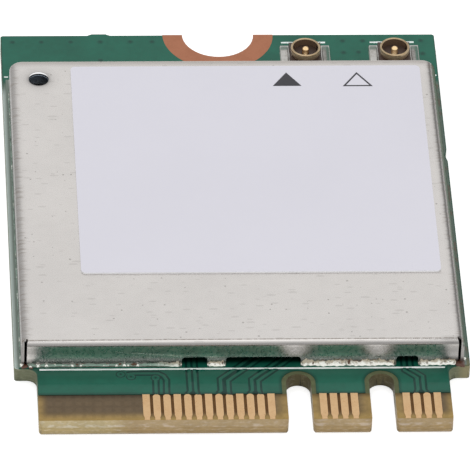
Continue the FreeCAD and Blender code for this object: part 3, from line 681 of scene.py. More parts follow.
@dataclass(frozen=True)
class TinFinish(PlatingFinish):
    """Tin coat that the lacquer's edge covers along the board's sides and at the lands' far ends, with
    painted shade on the sockets' right-hand lands.

    Attributes:
        coated: colour where it is covered.
        lacquered: colour of the covered side of the sockets' right-hand lands.
        painted_land_levels: shares of the tin's brightness elsewhere and on those lands, darker there as
        painted shade.
        covered_metal: share of metal that is left where it is covered.
        sides: distances from the middle line where the lacquer starts and where it is full.
        lands: Y where the antenna lands start and where they are full.
        far_ends: Y where the lacquer starts on them and where it is full.
        outer: distances from a socket's middle where its right-hand land starts to be covered and
            where it is.
    """

    coated: Colour = (0.16, 0.20, 0.17)
    lacquered: Colour = (0.065, 0.135, 0.10)
    painted_land_levels: Pair = (1.08, 0.7)
    covered_metal: float = 0.2
    sides: Pair = (10.66, 10.69)
    lands: Pair = (11.8, 12.0)
    far_ends: Pair = (13.44, 13.6)
    outer: Pair = (1.0, 1.14)

    def dress(self, graph: Graph, shader: Node, place: Socket) -> None:
        """Tin, and the covered colour over it."""
        super().dress(graph, shader, place)
        axes = graph.axes(place)
        turn = graph.math("FLOORED_MODULO", graph.less(axes["X"], FIRST_SOCKET), SOCKET_PITCH)
        right = graph.math("LESS_THAN", turn, SOCKET_PITCH / 2)
        right = graph.times(right, graph.fade(axes["Y"], *self.lands))
        tin = shader.inputs["Base Color"].links[0].from_socket
        # Painted shade: the sockets' right-hand lands darker, the rest of the tin a little lighter.
        tin = graph.shade(tin, graph.between(right, *self.painted_land_levels))
        side = graph.fade(graph.math("ABSOLUTE", axes["X"]), *self.sides)
        covered = graph.math("MAXIMUM", side, graph.fade(axes["Y"], *self.far_ends))
        hidden = graph.times(right, graph.fade(turn, *self.outer))
        tin = graph.mix(hidden, graph.mix(covered, tin, self.coated), self.lacquered)
        covered = graph.math("MAXIMUM", covered, hidden)
        graph.feed(shader, {"Base Color": tin, "Metallic": graph.between(covered, 1.0, self.covered_metal)})


@dataclass(frozen=True)
class SocketFinish(PlatingFinish):
    """Gold plating with painted light and shade: bright on the rims and the back and front arcs, darker
    down the walls, and tinned at the feet.

    Attributes:
        wall: colour of the outer walls, darker than the plating as painted shade.
        hollow: colour of the inner walls, darker still as painted shade.
        wall_metal: share of metal on the walls.
        foot: colour of the tinned feet.
        foot_top: Z up to which the feet are tinned.
    """

    CLOUD: ClassVar[Pair] = (2.6, 0.7)
    wall: Colour = (0.40, 0.28, 0.18)
    hollow: Colour = (0.17, 0.11, 0.07)
    wall_metal: float = 0.3
    foot: Colour = (0.46, 0.45, 0.43)
    foot_top: float = 0.93

    def dress(self, graph: Graph, shader: Node, place: Socket) -> None:
        """Plating mixed with painted shade colours by how upright it is, and lighter at back and front."""
        cloud = clouds(graph, place, *self.CLOUD)
        axes = graph.axes(place)
        behind = graph.less(axes["Y"], SOCKET_LINE)
        # Painted light: the ring lighter at its back and front arcs, dimmer at its sides.
        ends = graph.fade(graph.math("ABSOLUTE", behind), 0.35, 0.95, 0.8, 1.4)
        metal = graph.shade(self.tarnished(graph, cloud), ends)
        normal = graph.facing()
        rim = graph.fade(normal["Z"], 0.05, 0.6)
        outward = graph.fade(graph.times(behind, normal["Y"]), -0.1, 0.1)
        # Painted shade: upright walls take the darker wall and hollow colours.
        metal = graph.mix(rim, graph.mix(outward, self.hollow, self.wall), metal)
        metal = graph.mix(graph.fade(axes["Z"], self.foot_top + 0.02, self.foot_top), metal, self.foot)
        self.rough(graph, shader, cloud)
        finish = {
            "Base Color": metal,
            "Metallic": graph.between(rim, self.wall_metal, 1.0),
            "Normal": graph.bump(cloud, self.ripple, 0.5),
        }
        graph.feed(shader, finish)


@dataclass(frozen=True)
class LacquerFinish(Finish):
    """Green solder mask: thin gloss lacquer over a copper plane and glass cloth, with painted shade under
    the can and painted light and shade round it, and a painted highlight on the left edge.

    Attributes:
        beside_can_colour: colour along the board's sides, beside the can, paler and greyer than the lacquer.
        grime: colour of the grime in it on the right.
        painted_edge_light: colour of the left edge, lighter there as a painted highlight.
        painted_edge_light_end: Y from which that fades, and where it is full.
        thin: colour of the front right corner, where the laminate shows through.
        thin_x: X where that starts and where it is full.
        thin_y: Y where that starts and where it is full.
        upper: Z that only the upper face's mask lies above.
        painted_shade_level: how bright it is under the can, a painted shade.
        rim_radius: radius of the mask's edge round the key notches.
        rim: distances from it where the darker lacquer along it is full and where it ends.
        rim_level: how bright that is.
        refraction: its index of refraction.
        thread: width of the cloth's threads.
    """

    CLOUD: ClassVar[Pair] = (0.5, 0.5)
    TONE: ClassVar[Pair] = (0.88, 1.14)
    ROUGH: ClassVar[Pair] = (0.8, 1.3)
    beside_can_colour: Colour = (0.145, 0.185, 0.15)
    grime: Colour = (0.175, 0.13, 0.10)
    painted_edge_light: Colour = (0.46, 0.53, 0.50)
    painted_edge_light_end: Pair = (11.0, 10.0)
    thin: Colour = (0.175, 0.185, 0.11)
    thin_x: Pair = (10.35, 10.7)
    thin_y: Pair = (-10.4, -10.8)
    upper: float = 0.4
    painted_shade_level: float = 0.16
    rim_radius: float = NOTCH_HALF + 0.22
    rim: Pair = (0.04, 0.2)
    rim_level: float = 0.66
    refraction: float = 1.33
    thread: float = 0.45

    def dress(self, graph: Graph, shader: Node, place: Socket) -> None:
        """Cloudy green, darker or worn by its place, with the cloth's faint relief."""
        axes = graph.axes(place)
        cloud = clouds(graph, place, *self.CLOUD)
        along = graph.times(
            graph.fade(axes["Y"], CAN_FRONT - 0.12, CAN_FRONT + 0.32),
            graph.fade(axes["Y"], CAN_BACK + 0.06, CAN_BACK - 0.35),
            graph.math("GREATER_THAN", axes["Z"], self.upper),
        )
        across = graph.math("ABSOLUTE", axes["X"])
        under = graph.times(along, graph.fade(across, CAN_HALF + 0.05, CAN_HALF - 0.1))
        beside = graph.times(along, graph.fade(across, CAN_HALF + 0.06, CAN_HALF + 0.16))
        # Painted shade under the can, and the painted light and shade that open_level gives.
        level = graph.times(self.open_level(graph, axes), graph.between(under, 1.0, self.painted_shade_level))
        base = graph.shade(self.uneven(graph, cloud), level)
        dirty = graph.fade(graph.noise(place, 1.6, 3.0), 0.5, 0.62)
        dirty = graph.times(graph.fade(axes["X"], 0.0, 1.0), dirty)
        beside_can_colour = graph.mix(dirty, self.beside_can_colour, self.grime)
        base = graph.mix(graph.times(beside, 0.75), base, beside_can_colour)
        # Painted highlight: the lacquer lighter along the board's left edge.
        painted_light_guide = graph.fade(axes["X"], -CAN_HALF - 0.01, -CAN_HALF - 0.33)
        base = graph.mix(graph.times(painted_light_guide, graph.fade(axes["Y"], *self.painted_edge_light_end)), base, self.painted_edge_light)
        thin = graph.times(graph.fade(axes["X"], *self.thin_x), graph.fade(axes["Y"], *self.thin_y))
        relief = graph.bump(weave(graph, place, self.thread), 0.0012, 0.5)
        self.rough(graph, shader, cloud)
        finish = {
            "Base Color": graph.mix(thin, base, self.thin),
            "Specular IOR Level": graph.between(under, 0.5, 0.1),
            "IOR": self.refraction,
            "Normal": graph.bump(cloud, 0.004, 0.4, relief),
        }
        graph.feed(shader, finish)

    def open_level(self, graph: Graph, axes: Sockets) -> Socket:
        """Painted shade before the can and at the front edge, painted light behind it; darker notch rims."""
        level = graph.fade(axes["Y"], CAN_FRONT - 1.4, CAN_FRONT - 0.9, 1.0, 0.88)
        level = graph.math("ADD", level, graph.fade(axes["Y"], CAN_BACK, CAN_BACK + 0.1, 0.0, 0.22))
        start = graph.fade(axes["Y"], MASK_START - 0.05, MASK_START + 0.25, 0.45, 1.0)
        aside = from_notches(graph, axes["X"])
        past = graph.math("MAXIMUM", graph.less(axes["Y"], NOTCH_CENTRE), 0.0)
        rim = graph.math("SQRT", graph.math("ADD", graph.times(aside, aside), graph.times(past, past)))
        rim = graph.fade(graph.less(rim, self.rim_radius), *self.rim, self.rim_level, 1.0)
        return graph.times(level, start, rim)


@dataclass(frozen=True)
class LaminateFinish(Finish):
    """Glass-fibre laminate: brown cloth on its faces, paler at the tip, and layered edges, with painted
    shade between the contacts, before the mask and in the notches, and a painted highlight on the left edge.

    Attributes:
        tip_colour: colour of the face near the tip, where no copper lies inside.
        bevel_colour: colour of the ground lead-in bevel.
        painted_between_shade: colour between neighbouring contacts, darker and redder as painted shade
        and reflection of the gold.
        edge_colour: colour of the cut edges at the tip.
        side_colour: colour of the cut edges away from the tip.
        deep_colour: colour inside the key notches, dark partly from the milling and partly as painted
        shade, and of the dark layers.
        fibre_colour: colour of the broken glass fibres.
        coat_colour: colour of the thin lacquer that runs out to the edges.
        rim_colour: colour of the bare rim round the notches, stained by the lacquer.
        browning: tint of the tip's cut edges beyond the blank end, over their own colour.
        browned: X where that starts and where it is full.
        painted_edge_light_colour: colour of the left edge, lighter there as a painted highlight.
        painted_edge_light_x: X where that starts and where it is full.
        painted_edge_light_y: Y where it starts and where it is full.
        thin: colour of the face at the front right corner, where the lacquer is thin.
        thin_edge: colour of the cut edge there.
        thin_x: X where that starts and where it is full.
        thin_y: Y where that starts and where it is full.
        layer: thickness of two layers of cloth.
        fibre_level: Z of the row of broken fibres at the bevel's foot.
        contacts: ranges of X that hold contacts.
        tongue_half: half of the tongue's width.
        refraction: its index of refraction.
        gloss: level of its reflection.
        thread: width of the cloth's threads.
        fibres: fibres drawn out along the cut edges.
        torn: broken fibres at the bevel's foot.
    """

    CLOUD: ClassVar[Pair] = (1.5, 0.8)
    TONE: ClassVar[Pair] = (0.9, 1.08)
    ROUGH: ClassVar[Pair] = (0.8, 1.2)
    tip_colour: Colour = (0.40, 0.27, 0.095)
    bevel_colour: Colour = (0.53, 0.437, 0.25)
    painted_between_shade: Colour = (0.112, 0.048, 0.010)
    edge_colour: Colour = (0.52, 0.41, 0.205)
    side_colour: Colour = (0.19, 0.207, 0.132)
    deep_colour: Colour = (0.110, 0.094, 0.047)
    fibre_colour: Colour = (0.80, 0.75, 0.62)
    coat_colour: Colour = (0.040, 0.115, 0.082)
    rim_colour: Colour = (0.108, 0.122, 0.062)
    browning: Colour = (0.80, 0.715, 0.70)
    browned: Pair = (-7.0, -5.2)
    painted_edge_light_colour: Colour = (0.50, 0.57, 0.54)
    painted_edge_light_x: Pair = (-10.77, -10.8)
    painted_edge_light_y: Pair = (11.0, 10.0)
    thin: Colour = (0.175, 0.185, 0.11)
    thin_edge: Colour = (0.30, 0.27, 0.155)
    thin_x: Pair = (10.2, 10.8)
    thin_y: Pair = (-10.4, -10.8)
    layer: float = 0.19
    fibre_level: float = 0.55
    contacts: tuple[Pair, ...] = ((-4.9, 1.45), (3.6, 5.4), (7.6, 9.4))
    tongue_half: float = 9.925
    refraction: float = 1.36
    gloss: float = 0.2
    thread: float = 0.47
    fibres: Grain = Grain((2.0, 2.0, 9.0), 1.6, 4.0)
    torn: Grain = Grain((1.0, 0.3, 4.0), 1.7, 3.0)

    def dress(self, graph: Graph, shader: Node, place: Socket) -> None:
        """Faces by their distance from the tip, edges by that and by their height."""
        axes = graph.axes(place)
        slope = graph.math("ABSOLUTE", graph.facing("True Normal")["Z"])
        beside = graph.less(from_notches(graph, axes["X"]), NOTCH_HALF)
        corner = graph.times(graph.fade(axes["X"], *self.thin_x), graph.fade(axes["Y"], *self.thin_y))
        fibres = self.fibres.value(graph, place)
        face = self.bare_face(graph, axes, beside)
        face = self.coated_face(graph, axes, beside, corner, face)
        face = graph.shade(face, graph.between(weave(graph, place, self.thread), 0.92, 1.03))
        edge = self.cut_edge(graph, place, axes, beside, slope, fibres)
        edge = graph.mix(corner, edge, self.thin_edge)
        body = graph.mix(graph.fade(slope, 0.75, 0.95), edge, face)
        body = graph.shade(body, graph.fade(clouds(graph, place, *self.CLOUD), *NOISE, *self.TONE))
        self.rough(graph, shader, fibres)
        finish = {
            "Base Color": body,
            "IOR": self.refraction,
            "Specular IOR Level": self.gloss,
            "Normal": graph.bump(fibres, 0.006, 0.5),
        }
        graph.feed(shader, finish)

    def bare_face(self, graph: Graph, axes: Sockets, beside: Socket) -> Socket:
        """Colour of the tongue's face.

        Args:
            graph: the material's nodes.
            axes: X, Y and Z of the point.
            beside: its distance across from the nearer notch.

        Returns:
            The colour.
        """
        side = graph.less(self.tongue_half, graph.math("ABSOLUTE", axes["X"]))
        inward = graph.times(
            graph.fade(axes["Y"], TIP + 0.1, TIP + 0.9),
            graph.fade(beside, 0.0, 0.9, 0.3, 1.0),
            graph.fade(side, 0.0, 0.5, 0.4, 1.0),
        )
        face = graph.mix(inward, self.tip_colour, self.colour)
        left, middle, right = (
            graph.times(graph.fade(axes["X"], low, low + 0.1), graph.fade(axes["X"], high, high - 0.1))
            for low, high in self.contacts
        )
        # Painted shade and gold reflection between the contacts.
        between = graph.times(
            graph.math("MAXIMUM", graph.math("MAXIMUM", left, middle), right),
            graph.fade(axes["Y"], TIP + 0.3, TIP + 0.9, 0.0, 0.85),
            graph.math("LESS_THAN", axes["Y"], MASK_START),
        )
        face = graph.mix(between, face, self.painted_between_shade)
        # Painted shadow: the face darker just before the mask's edge.
        return graph.shade(face, graph.fade(axes["Y"], MASK_START - 0.4, MASK_START, 1.0, 0.42))

    def coated_face(
        self, graph: Graph, axes: Sockets, beside: Socket, corner: Socket, face: Socket
    ) -> Socket:
        """Colour of the face where the lacquer thins out: at the notches' rims and the board's edges.

        Args:
            graph: the material's nodes.
            axes: X, Y and Z of the point.
            beside: its distance across from the nearer notch.
            corner: 1 at the front right corner.
            face: colour of the bare face.

        Returns:
            The colour.
        """
        coated = graph.math("GREATER_THAN", axes["Y"], MASK_START)
        face = graph.mix(coated, face, self.rim_colour)
        # Painted highlight on the face along the left edge.
        painted_light_guide = graph.times(graph.fade(axes["X"], *self.painted_edge_light_x), graph.fade(axes["Y"], *self.painted_edge_light_y))
        coat = graph.mix(corner, graph.mix(painted_light_guide, self.coat_colour, self.painted_edge_light_colour), self.thin)
        return graph.mix(graph.times(coated, graph.fade(beside, 0.2, 0.24)), face, coat)

    def cut_edge(
        self, graph: Graph, place: Socket, axes: Sockets, beside: Socket, slope: Socket, fibres: Socket
    ) -> Socket:
        """Colour of the cut edges: layers of cloth, the ground bevel and broken fibres.

        Args:
            graph: the material's nodes.
            place: the point.
            axes: X, Y and Z of it.
            beside: its distance across from the nearer notch.
            slope: 0 on an upright edge and 1 on a flat face.
            fibres: noise drawn out along the cloth.

        Returns:
            The colour.
        """
        back = graph.fade(axes["Y"], TIP + 0.6, TIP + 3.0)
        ahead = graph.less(1.0, back)
        deep = graph.times(back, graph.fade(beside, 0.4, 0.1))
        wave = graph.math("SINE", graph.times(axes["Z"], 2 * math.pi / self.layer))
        layers = graph.times(graph.fade(wave, -0.6, 0.9), graph.between(deep, 0.13, 0.4))
        edge = graph.mix(back, self.edge_colour, self.side_colour)
        edge = graph.shade(edge, graph.fade(axes["Z"], 0.1, 0.4, 0.9, 1.0))
        # Inside the key notches: partly the milled edge's own colour, partly painted shade.
        edge = graph.mix(deep, edge, self.deep_colour)
        edge = graph.mix(layers, edge, self.deep_colour)
        edge = graph.mix(graph.times(graph.fade(slope, 0.2, 0.45), ahead), edge, self.bevel_colour)
        shine = graph.times(graph.fade(fibres, 0.5, 0.72), graph.between(back, 0.4, 0.12))
        edge = graph.mix(shine, edge, self.fibre_colour)
        torn = self.torn.value(graph, place)
        row = graph.fade(graph.apart(axes["Z"], self.fibre_level), 0.09, 0.03)
        torn = graph.times(row, graph.fade(torn, 0.48, 0.62, 0.0, 0.55), ahead)
        edge = graph.mix(torn, edge, self.fibre_colour)
        browned = graph.times(graph.fade(axes["X"], *self.browned, 0.15, 1.0), ahead)
        return graph.tinted(browned, edge, self.browning)


@dataclass(frozen=True)
class FilmFinish(Finish):
    """Label film: smooth and a little cool, with a very faint grain and a painted highlight on its edges.

    Attributes:
        edge: colour of its cut edges, whiter as a painted highlight.
    """

    CLOUD: ClassVar[Pair] = (0.15, 0.3)
    TONE: ClassVar[Pair] = (0.99, 1.01)
    ROUGH: ClassVar[Pair] = (0.9, 1.1)
    edge: Colour = (0.93, 0.93, 0.95)

    def dress(self, graph: Graph, shader: Node, place: Socket) -> None:
        """Faint cloud and fine grain."""
        face = self.uneven(graph, clouds(graph, place, *self.CLOUD))
        # Painted highlight: the cut edges whiter than the face.
        film = graph.mix(graph.fade(graph.facing()["Z"], 0.3, 0.8), self.edge, face)
        grain = graph.noise(place, 20.0)
        self.rough(graph, shader, grain)
        graph.feed(shader, {"Base Color": film, "Normal": graph.bump(grain, 0.0015, 0.3)})


@dataclass(frozen=True)
class TrackFinish(LacquerFinish):
    """Solder mask where it follows tracks: the attribute copper is 0 in a gap and 1 on a track.

    Attributes:
        gap_colour: colour over a gap in the copper.
        track_colour: colour over a track.
    """

    gap_colour: Colour = (0.004, 0.040, 0.030)
    track_colour: Colour = (0.016, 0.112, 0.074)

    def uneven(self, graph: Graph, value: Socket) -> Socket:
        """Colour by the copper under the lacquer, in place of the cloud's."""
        copper = graph.attribute("copper")
        ground = graph.mix(graph.fade(copper, 0.0, 0.5), self.gap_colour, self.colour)
        return graph.mix(graph.fade(copper, 0.6, 1.0), ground, self.track_colour)


@dataclass(frozen=True)
class SolderFinish(Finish):
    """Bright uneven solder, dull, thin or with amber flux where its attributes say so.

    Attributes:
        flux: colour of the flux.
        dross: colour of the dull skin between bright lumps.
        speck: colour of the dark specks in it.
        film: colour of thin solder at the wall.
        foot: colour of thin solder on the board, with the lacquer showing through.
    """

    CLOUD: ClassVar[Pair] = (2.4, 0.5)
    ROUGH: ClassVar[Pair] = (0.7, 1.4)
    flux: Colour = (0.075, 0.030, 0.009)
    dross: Colour = (0.40, 0.36, 0.28)
    speck: Colour = (0.11, 0.085, 0.06)
    film: Colour = (0.13, 0.155, 0.13)
    foot: Colour = (0.25, 0.365, 0.30)

    def dress(self, graph: Graph, shader: Node, place: Socket) -> None:
        """Metal that is dull and amber where flux stayed on it."""
        cloud = clouds(graph, place, *self.CLOUD)
        dull, thin, flux = (graph.attribute(name) for name in ("dull", "thin", "flux"))
        dross = graph.math("ADD", dull, graph.fade(cloud, *NOISE, 0.3, -0.3))
        skin = graph.mix(graph.fade(dross, 0.2, 0.75), self.colour, self.dross)
        dark = graph.fade(graph.noise(place, 7.5), 0.55, 0.66, 0.0, 0.72)
        skin = graph.mix(graph.times(dark, graph.fade(dull, 0.02, 0.5, 0.1, 1.0)), skin, self.speck)
        thin = graph.times(thin, graph.fade(cloud, 0.66, 0.56))
        skin = graph.mix(thin, skin, graph.mix(dull, self.foot, self.film))
        flux = graph.math("ADD", flux, graph.fade(cloud, 0.35, 0.65, -0.4, 0.3))
        flux = graph.fade(flux, 0.35, 0.6)
        self.rough(graph, shader, cloud)
        finish = {
            "Base Color": graph.mix(flux, skin, self.flux),
            "Metallic": graph.between(flux, 1.0, 0.1),
            "Normal": graph.bump(graph.noise(place, 6.0, 3.0), 0.014, 0.6),
        }
        graph.feed(shader, finish)


LACQUER_GREEN = (0.008, 0.103, 0.066)
FINISHES: dict[Slot, Finish] = {
    Slot.LAMINATE: LaminateFinish("bare_laminate", (0.140, 0.101, 0.062), 0.45),
    Slot.MASK: LacquerFinish("green_lacquer", LACQUER_GREEN, 0.12),
    Slot.GOLD: PlatingFinish("contact_plating", (0.69, 0.465, 0.255), 0.34, 1.0, (0.46, 0.25, 0.11), 0.3),
    Slot.COPPER: PlatingFinish("bare_copper", (0.425, 0.182, 0.106), 0.38, 1.0, (0.28, 0.105, 0.055), 0.35),
    Slot.TINNED: TinFinish("tin_coat", (0.48, 0.47, 0.45), 0.32, 1.0, (0.22, 0.20, 0.17), 0.6),
    Slot.SHIELD: SheetFinish("tinned_sheet", (0.64, 0.615, 0.595), 0.3, 1.0),
    Slot.SOLDER: SolderFinish("bright_solder", (0.86, 0.87, 0.81), 0.24, 1.0),
    Slot.LABEL: FilmFinish("white_film", (0.715, 0.705, 0.774), 0.42),
    Slot.INSULATOR: Finish("socket_moulding", (0.058, 0.036, 0.027), 0.45),
    Slot.SOCKET: SocketFinish("socket_plating", (0.54, 0.42, 0.27), 0.22, 1.0, (0.34, 0.23, 0.12), 0.6),
    Slot.EPOXY: Finish("moulding_compound", (0.012, 0.012, 0.014), 0.55),
    Slot.CRYSTAL: PlatingFinish("crystal_lid", (0.55, 0.52, 0.45), 0.3, 1.0, (0.3, 0.25, 0.18), 0.3),
    Slot.FERRITE: Finish("pressed_ferrite", (0.05, 0.05, 0.055), 0.6),
    Slot.CERAMIC: Finish("fired_ceramic", (0.45, 0.50, 0.50), 0.5),
    Slot.CAPACITOR: Finish("brown_ceramic", (0.28, 0.17, 0.10), 0.5),
    Slot.RESISTOR: Finish("resistor_glaze", (0.015, 0.015, 0.02), 0.3),
}
TRACK_FINISH = TrackFinish("green_lacquer_on_tracks", LACQUER_GREEN, 0.12)
LEGEND_INK = Finish("legend_ink", (0.84, 0.96, 0.90), 0.5)
LABEL_INK = Finish("label_ink", (0.028, 0.027, 0.034), 0.5)
FLUX = Finish("amber_flux", (0.100, 0.042, 0.026), 0.25)
PROBE = PlatingFinish("probe_plating", (1.0, 0.74, 0.42), 0.3, 1.0, (0.75, 0.50, 0.25), 0.3)
# Near-white metal, brighter than the tin, so that the burr shows as a painted glint.
BURR = PlatingFinish("bright_burr", (0.97, 0.97, 0.98), 0.25, 1.0, (0.8, 0.8, 0.82), 0.2)


# Meshes

# Angles above which an edge stays sharp, on new pieces and on copies of imported ones
PIECE_EDGE = math.radians(40)
SKIN_EDGE = math.radians(35)
# Distance, in metres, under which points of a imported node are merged
MERGE = 1e-7
# Height of a strip's outer edges over the mask, and depth that drops and mounds go into it
LIFT = 0.0005
SEAT = 0.002


def grid_quads(rows: int, columns: int, closed: bool) -> np.ndarray:
    """Quads of a grid of points, row by row.

    Args:
        rows: points along the path.
        columns: points across it.
        closed: whether the last column joins the first.

    Returns:
        The quads as rows of four point numbers.
    """
    first = np.arange(columns if closed else columns - 1)
    second = (first + 1) % columns
    start = np.arange(rows - 1)[:, None] * columns
    after = start + columns
    return np.stack([start + first, start + second, after + second, after + first], axis=-1).reshape(-1, 4)


def closed_tube(grid: np.ndarray) -> Shape:
    """A tube from a grid of loops, with a flat cap on both ends.

    Args:
        grid: points as (loops, points in a loop, 3).

    Returns:
        Its points and faces.
    """
    rows, columns, _ = grid.shape
    caps = np.stack([np.arange(columns)[::-1], (rows - 1) * columns + np.arange(columns)])
    return grid.reshape(-1, 3), [grid_quads(rows, columns, True), caps]


def join_shapes(shapes: Sequence[Shape]) -> Shape:
    """Several shapes as one set of points and faces."""
    starts = np.cumsum([0] + [len(points) for points, _ in shapes])
    blocks = [block + start for start, (_, part) in zip(starts, shapes) for block in part]
    return np.concatenate([points for points, _ in shapes]), blocks


def add_piece(
    name: str, shape: Shape, finish: Finish, attributes: dict[str, np.ndarray] | None = None
) -> bpy.types.Object:
    """Make a piece of the card that rides on its one body.

    Args:
        name: the piece's name.
        shape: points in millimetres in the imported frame, and faces.
        finish: its finish.
        attributes: point attributes by name.

    Returns:
        The new object.
    """
    points, blocks = shape
    mesh = bpy.data.meshes.new(name)
    mesh.from_pydata((points * MM).tolist(), [], sum((block.tolist() for block in blocks), []))
    for label, values in (attributes or {}).items():
        layer = mesh.attributes.new(label, "FLOAT", "POINT")
        layer.data.foreach_set("value", np.ascontiguousarray(values, np.float32).ravel())
    mesh.materials.append(finish.material())
    mesh.update()
    mesh.validate()
    piece = bpy.data.objects.new(name, mesh)
    bpy.context.scene.collection.objects.link(piece)
    recalculate_outside(mesh)
    mesh.polygons.foreach_set("use_smooth", np.ones(len(mesh.polygons), bool))
    mesh.set_sharp_from_angle(angle=PIECE_EDGE)
    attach(piece, BODY)
    LOG.info("%s: %d faces", name, len(mesh.polygons))
    return piece


def recalculate_outside(mesh: bpy.types.Mesh) -> None:
    """Turn every face of a mesh outwards."""
    work = bmesh.new()
    work.from_mesh(mesh)
    bmesh.ops.recalc_face_normals(work, faces=work.faces)
    work.to_mesh(mesh)
    work.free()


def wander(
    along: np.ndarray, rng: np.random.Generator, spread: float, lengths: Sequence[float]
) -> np.ndarray:
    """A smooth uneven line about 1: sines of several wavelengths with random phases.

    Args:
        along: place along the line, in millimetres.
        rng: seeded random numbers.
        spread: size of each sine.
        lengths: their wavelengths.

    Returns:
        The value at each place.
    """
    phases = rng.uniform(0, 2 * math.pi, len(lengths))
    waves = np.sin(2 * math.pi * along[:, None] / np.array(lengths) + phases)
    return 1 + spread * waves.sum(axis=1)


@dataclass(frozen=True)
class CardFrame:
    """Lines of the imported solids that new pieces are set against, in millimetres.

    Attributes:
        tip: Y of the contact tongue's tip.
        board_top: Z of the mask's upper face.
        can_low: lowest corner of the shield can.
        can_high: highest corner of the shield can.
        label_top: Z of the label's face.
    """

    tip: float
    board_top: float
    can_low: np.ndarray
    can_high: np.ndarray
    label_top: float

    @classmethod
    def read(cls) -> "CardFrame":
        """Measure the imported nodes."""
        low, high = (np.array(corner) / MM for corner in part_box("shield_can"))
        return cls(
            tip=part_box("circuit_board")[0].y / MM,
            board_top=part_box("solder_mask_top")[1].z / MM,
            can_low=low,
            can_high=high,
            label_top=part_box("label")[1].z / MM,
        )

    def on_board(self, across: Any, along: Any, above: Any) -> np.ndarray:
        """Points given across the card, along it from the tip and above the mask's face."""
        across, along, above = np.broadcast_arrays(across, along, above)
        return np.stack([across, along + self.tip, above + self.board_top], axis=-1).astype(float)


def smooth_copy(node: bpy.types.Object, slot: Slot) -> bpy.types.Object:
    """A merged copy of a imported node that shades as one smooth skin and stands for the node.

    Args:
        node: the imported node.
        slot: its slot.

    Returns:
        The copy.
    """
    mesh = node.data.copy()
    mesh.name = node.name + "_skin"
    work = bmesh.new()
    work.from_mesh(mesh)
    bmesh.ops.remove_doubles(work, verts=work.verts, dist=MERGE)
    work.to_mesh(mesh)
    work.free()
    mesh.materials.clear()
    mesh.materials.append(FINISHES[slot].material())
    mesh.polygons.foreach_set("use_smooth", np.ones(len(mesh.polygons), bool))
    mesh.set_sharp_from_angle(angle=SKIN_EDGE)
    piece = bpy.data.objects.new(mesh.name, mesh)
    bpy.context.scene.collection.objects.link(piece)
    weighted = piece.modifiers.new("flat_faces_first", "WEIGHTED_NORMAL")
    weighted.keep_sharp = True
    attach(piece, BODY)
    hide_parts(node.name)
    LOG.info("%s: %s, %d faces", piece.name, slot.value, len(mesh.polygons))
    return piece


def dress_node(node: bpy.types.Object, slot: Slot) -> None:
    """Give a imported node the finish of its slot."""
    node.data.materials.clear()
    node.data.materials.append(FINISHES[slot].material())
    LOG.info("%s: %s", node.name, slot.value)


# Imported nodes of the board, and those under the can, which show only through its openings
BOARD_SLOTS: dict[str, Slot] = {
    "solder_mask_top": Slot.MASK,
    "solder_mask_bottom": Slot.MASK,
    "contacts_top": Slot.GOLD,
    "contacts_bottom": Slot.GOLD,
    "screw_land_top": Slot.COPPER,
    "screw_land_bottom": Slot.COPPER,
    "shield_track": Slot.TINNED,
    "antenna_lands": Slot.TINNED,
}
INNER_SLOTS: dict[str, Slot] = {
    "radio_chip": Slot.EPOXY,
    "settings_memory": Slot.EPOXY,
    "front_end_main": Slot.EPOXY,
    "front_end_aux": Slot.EPOXY,
    "band_filter_main": Slot.CERAMIC,
    "band_filter_aux": Slot.CERAMIC,
    "reference_crystal": Slot.CRYSTAL,
    "power_inductor": Slot.FERRITE,
    "bypass_capacitors": Slot.CAPACITOR,
    "line_resistors": Slot.RESISTOR,
}


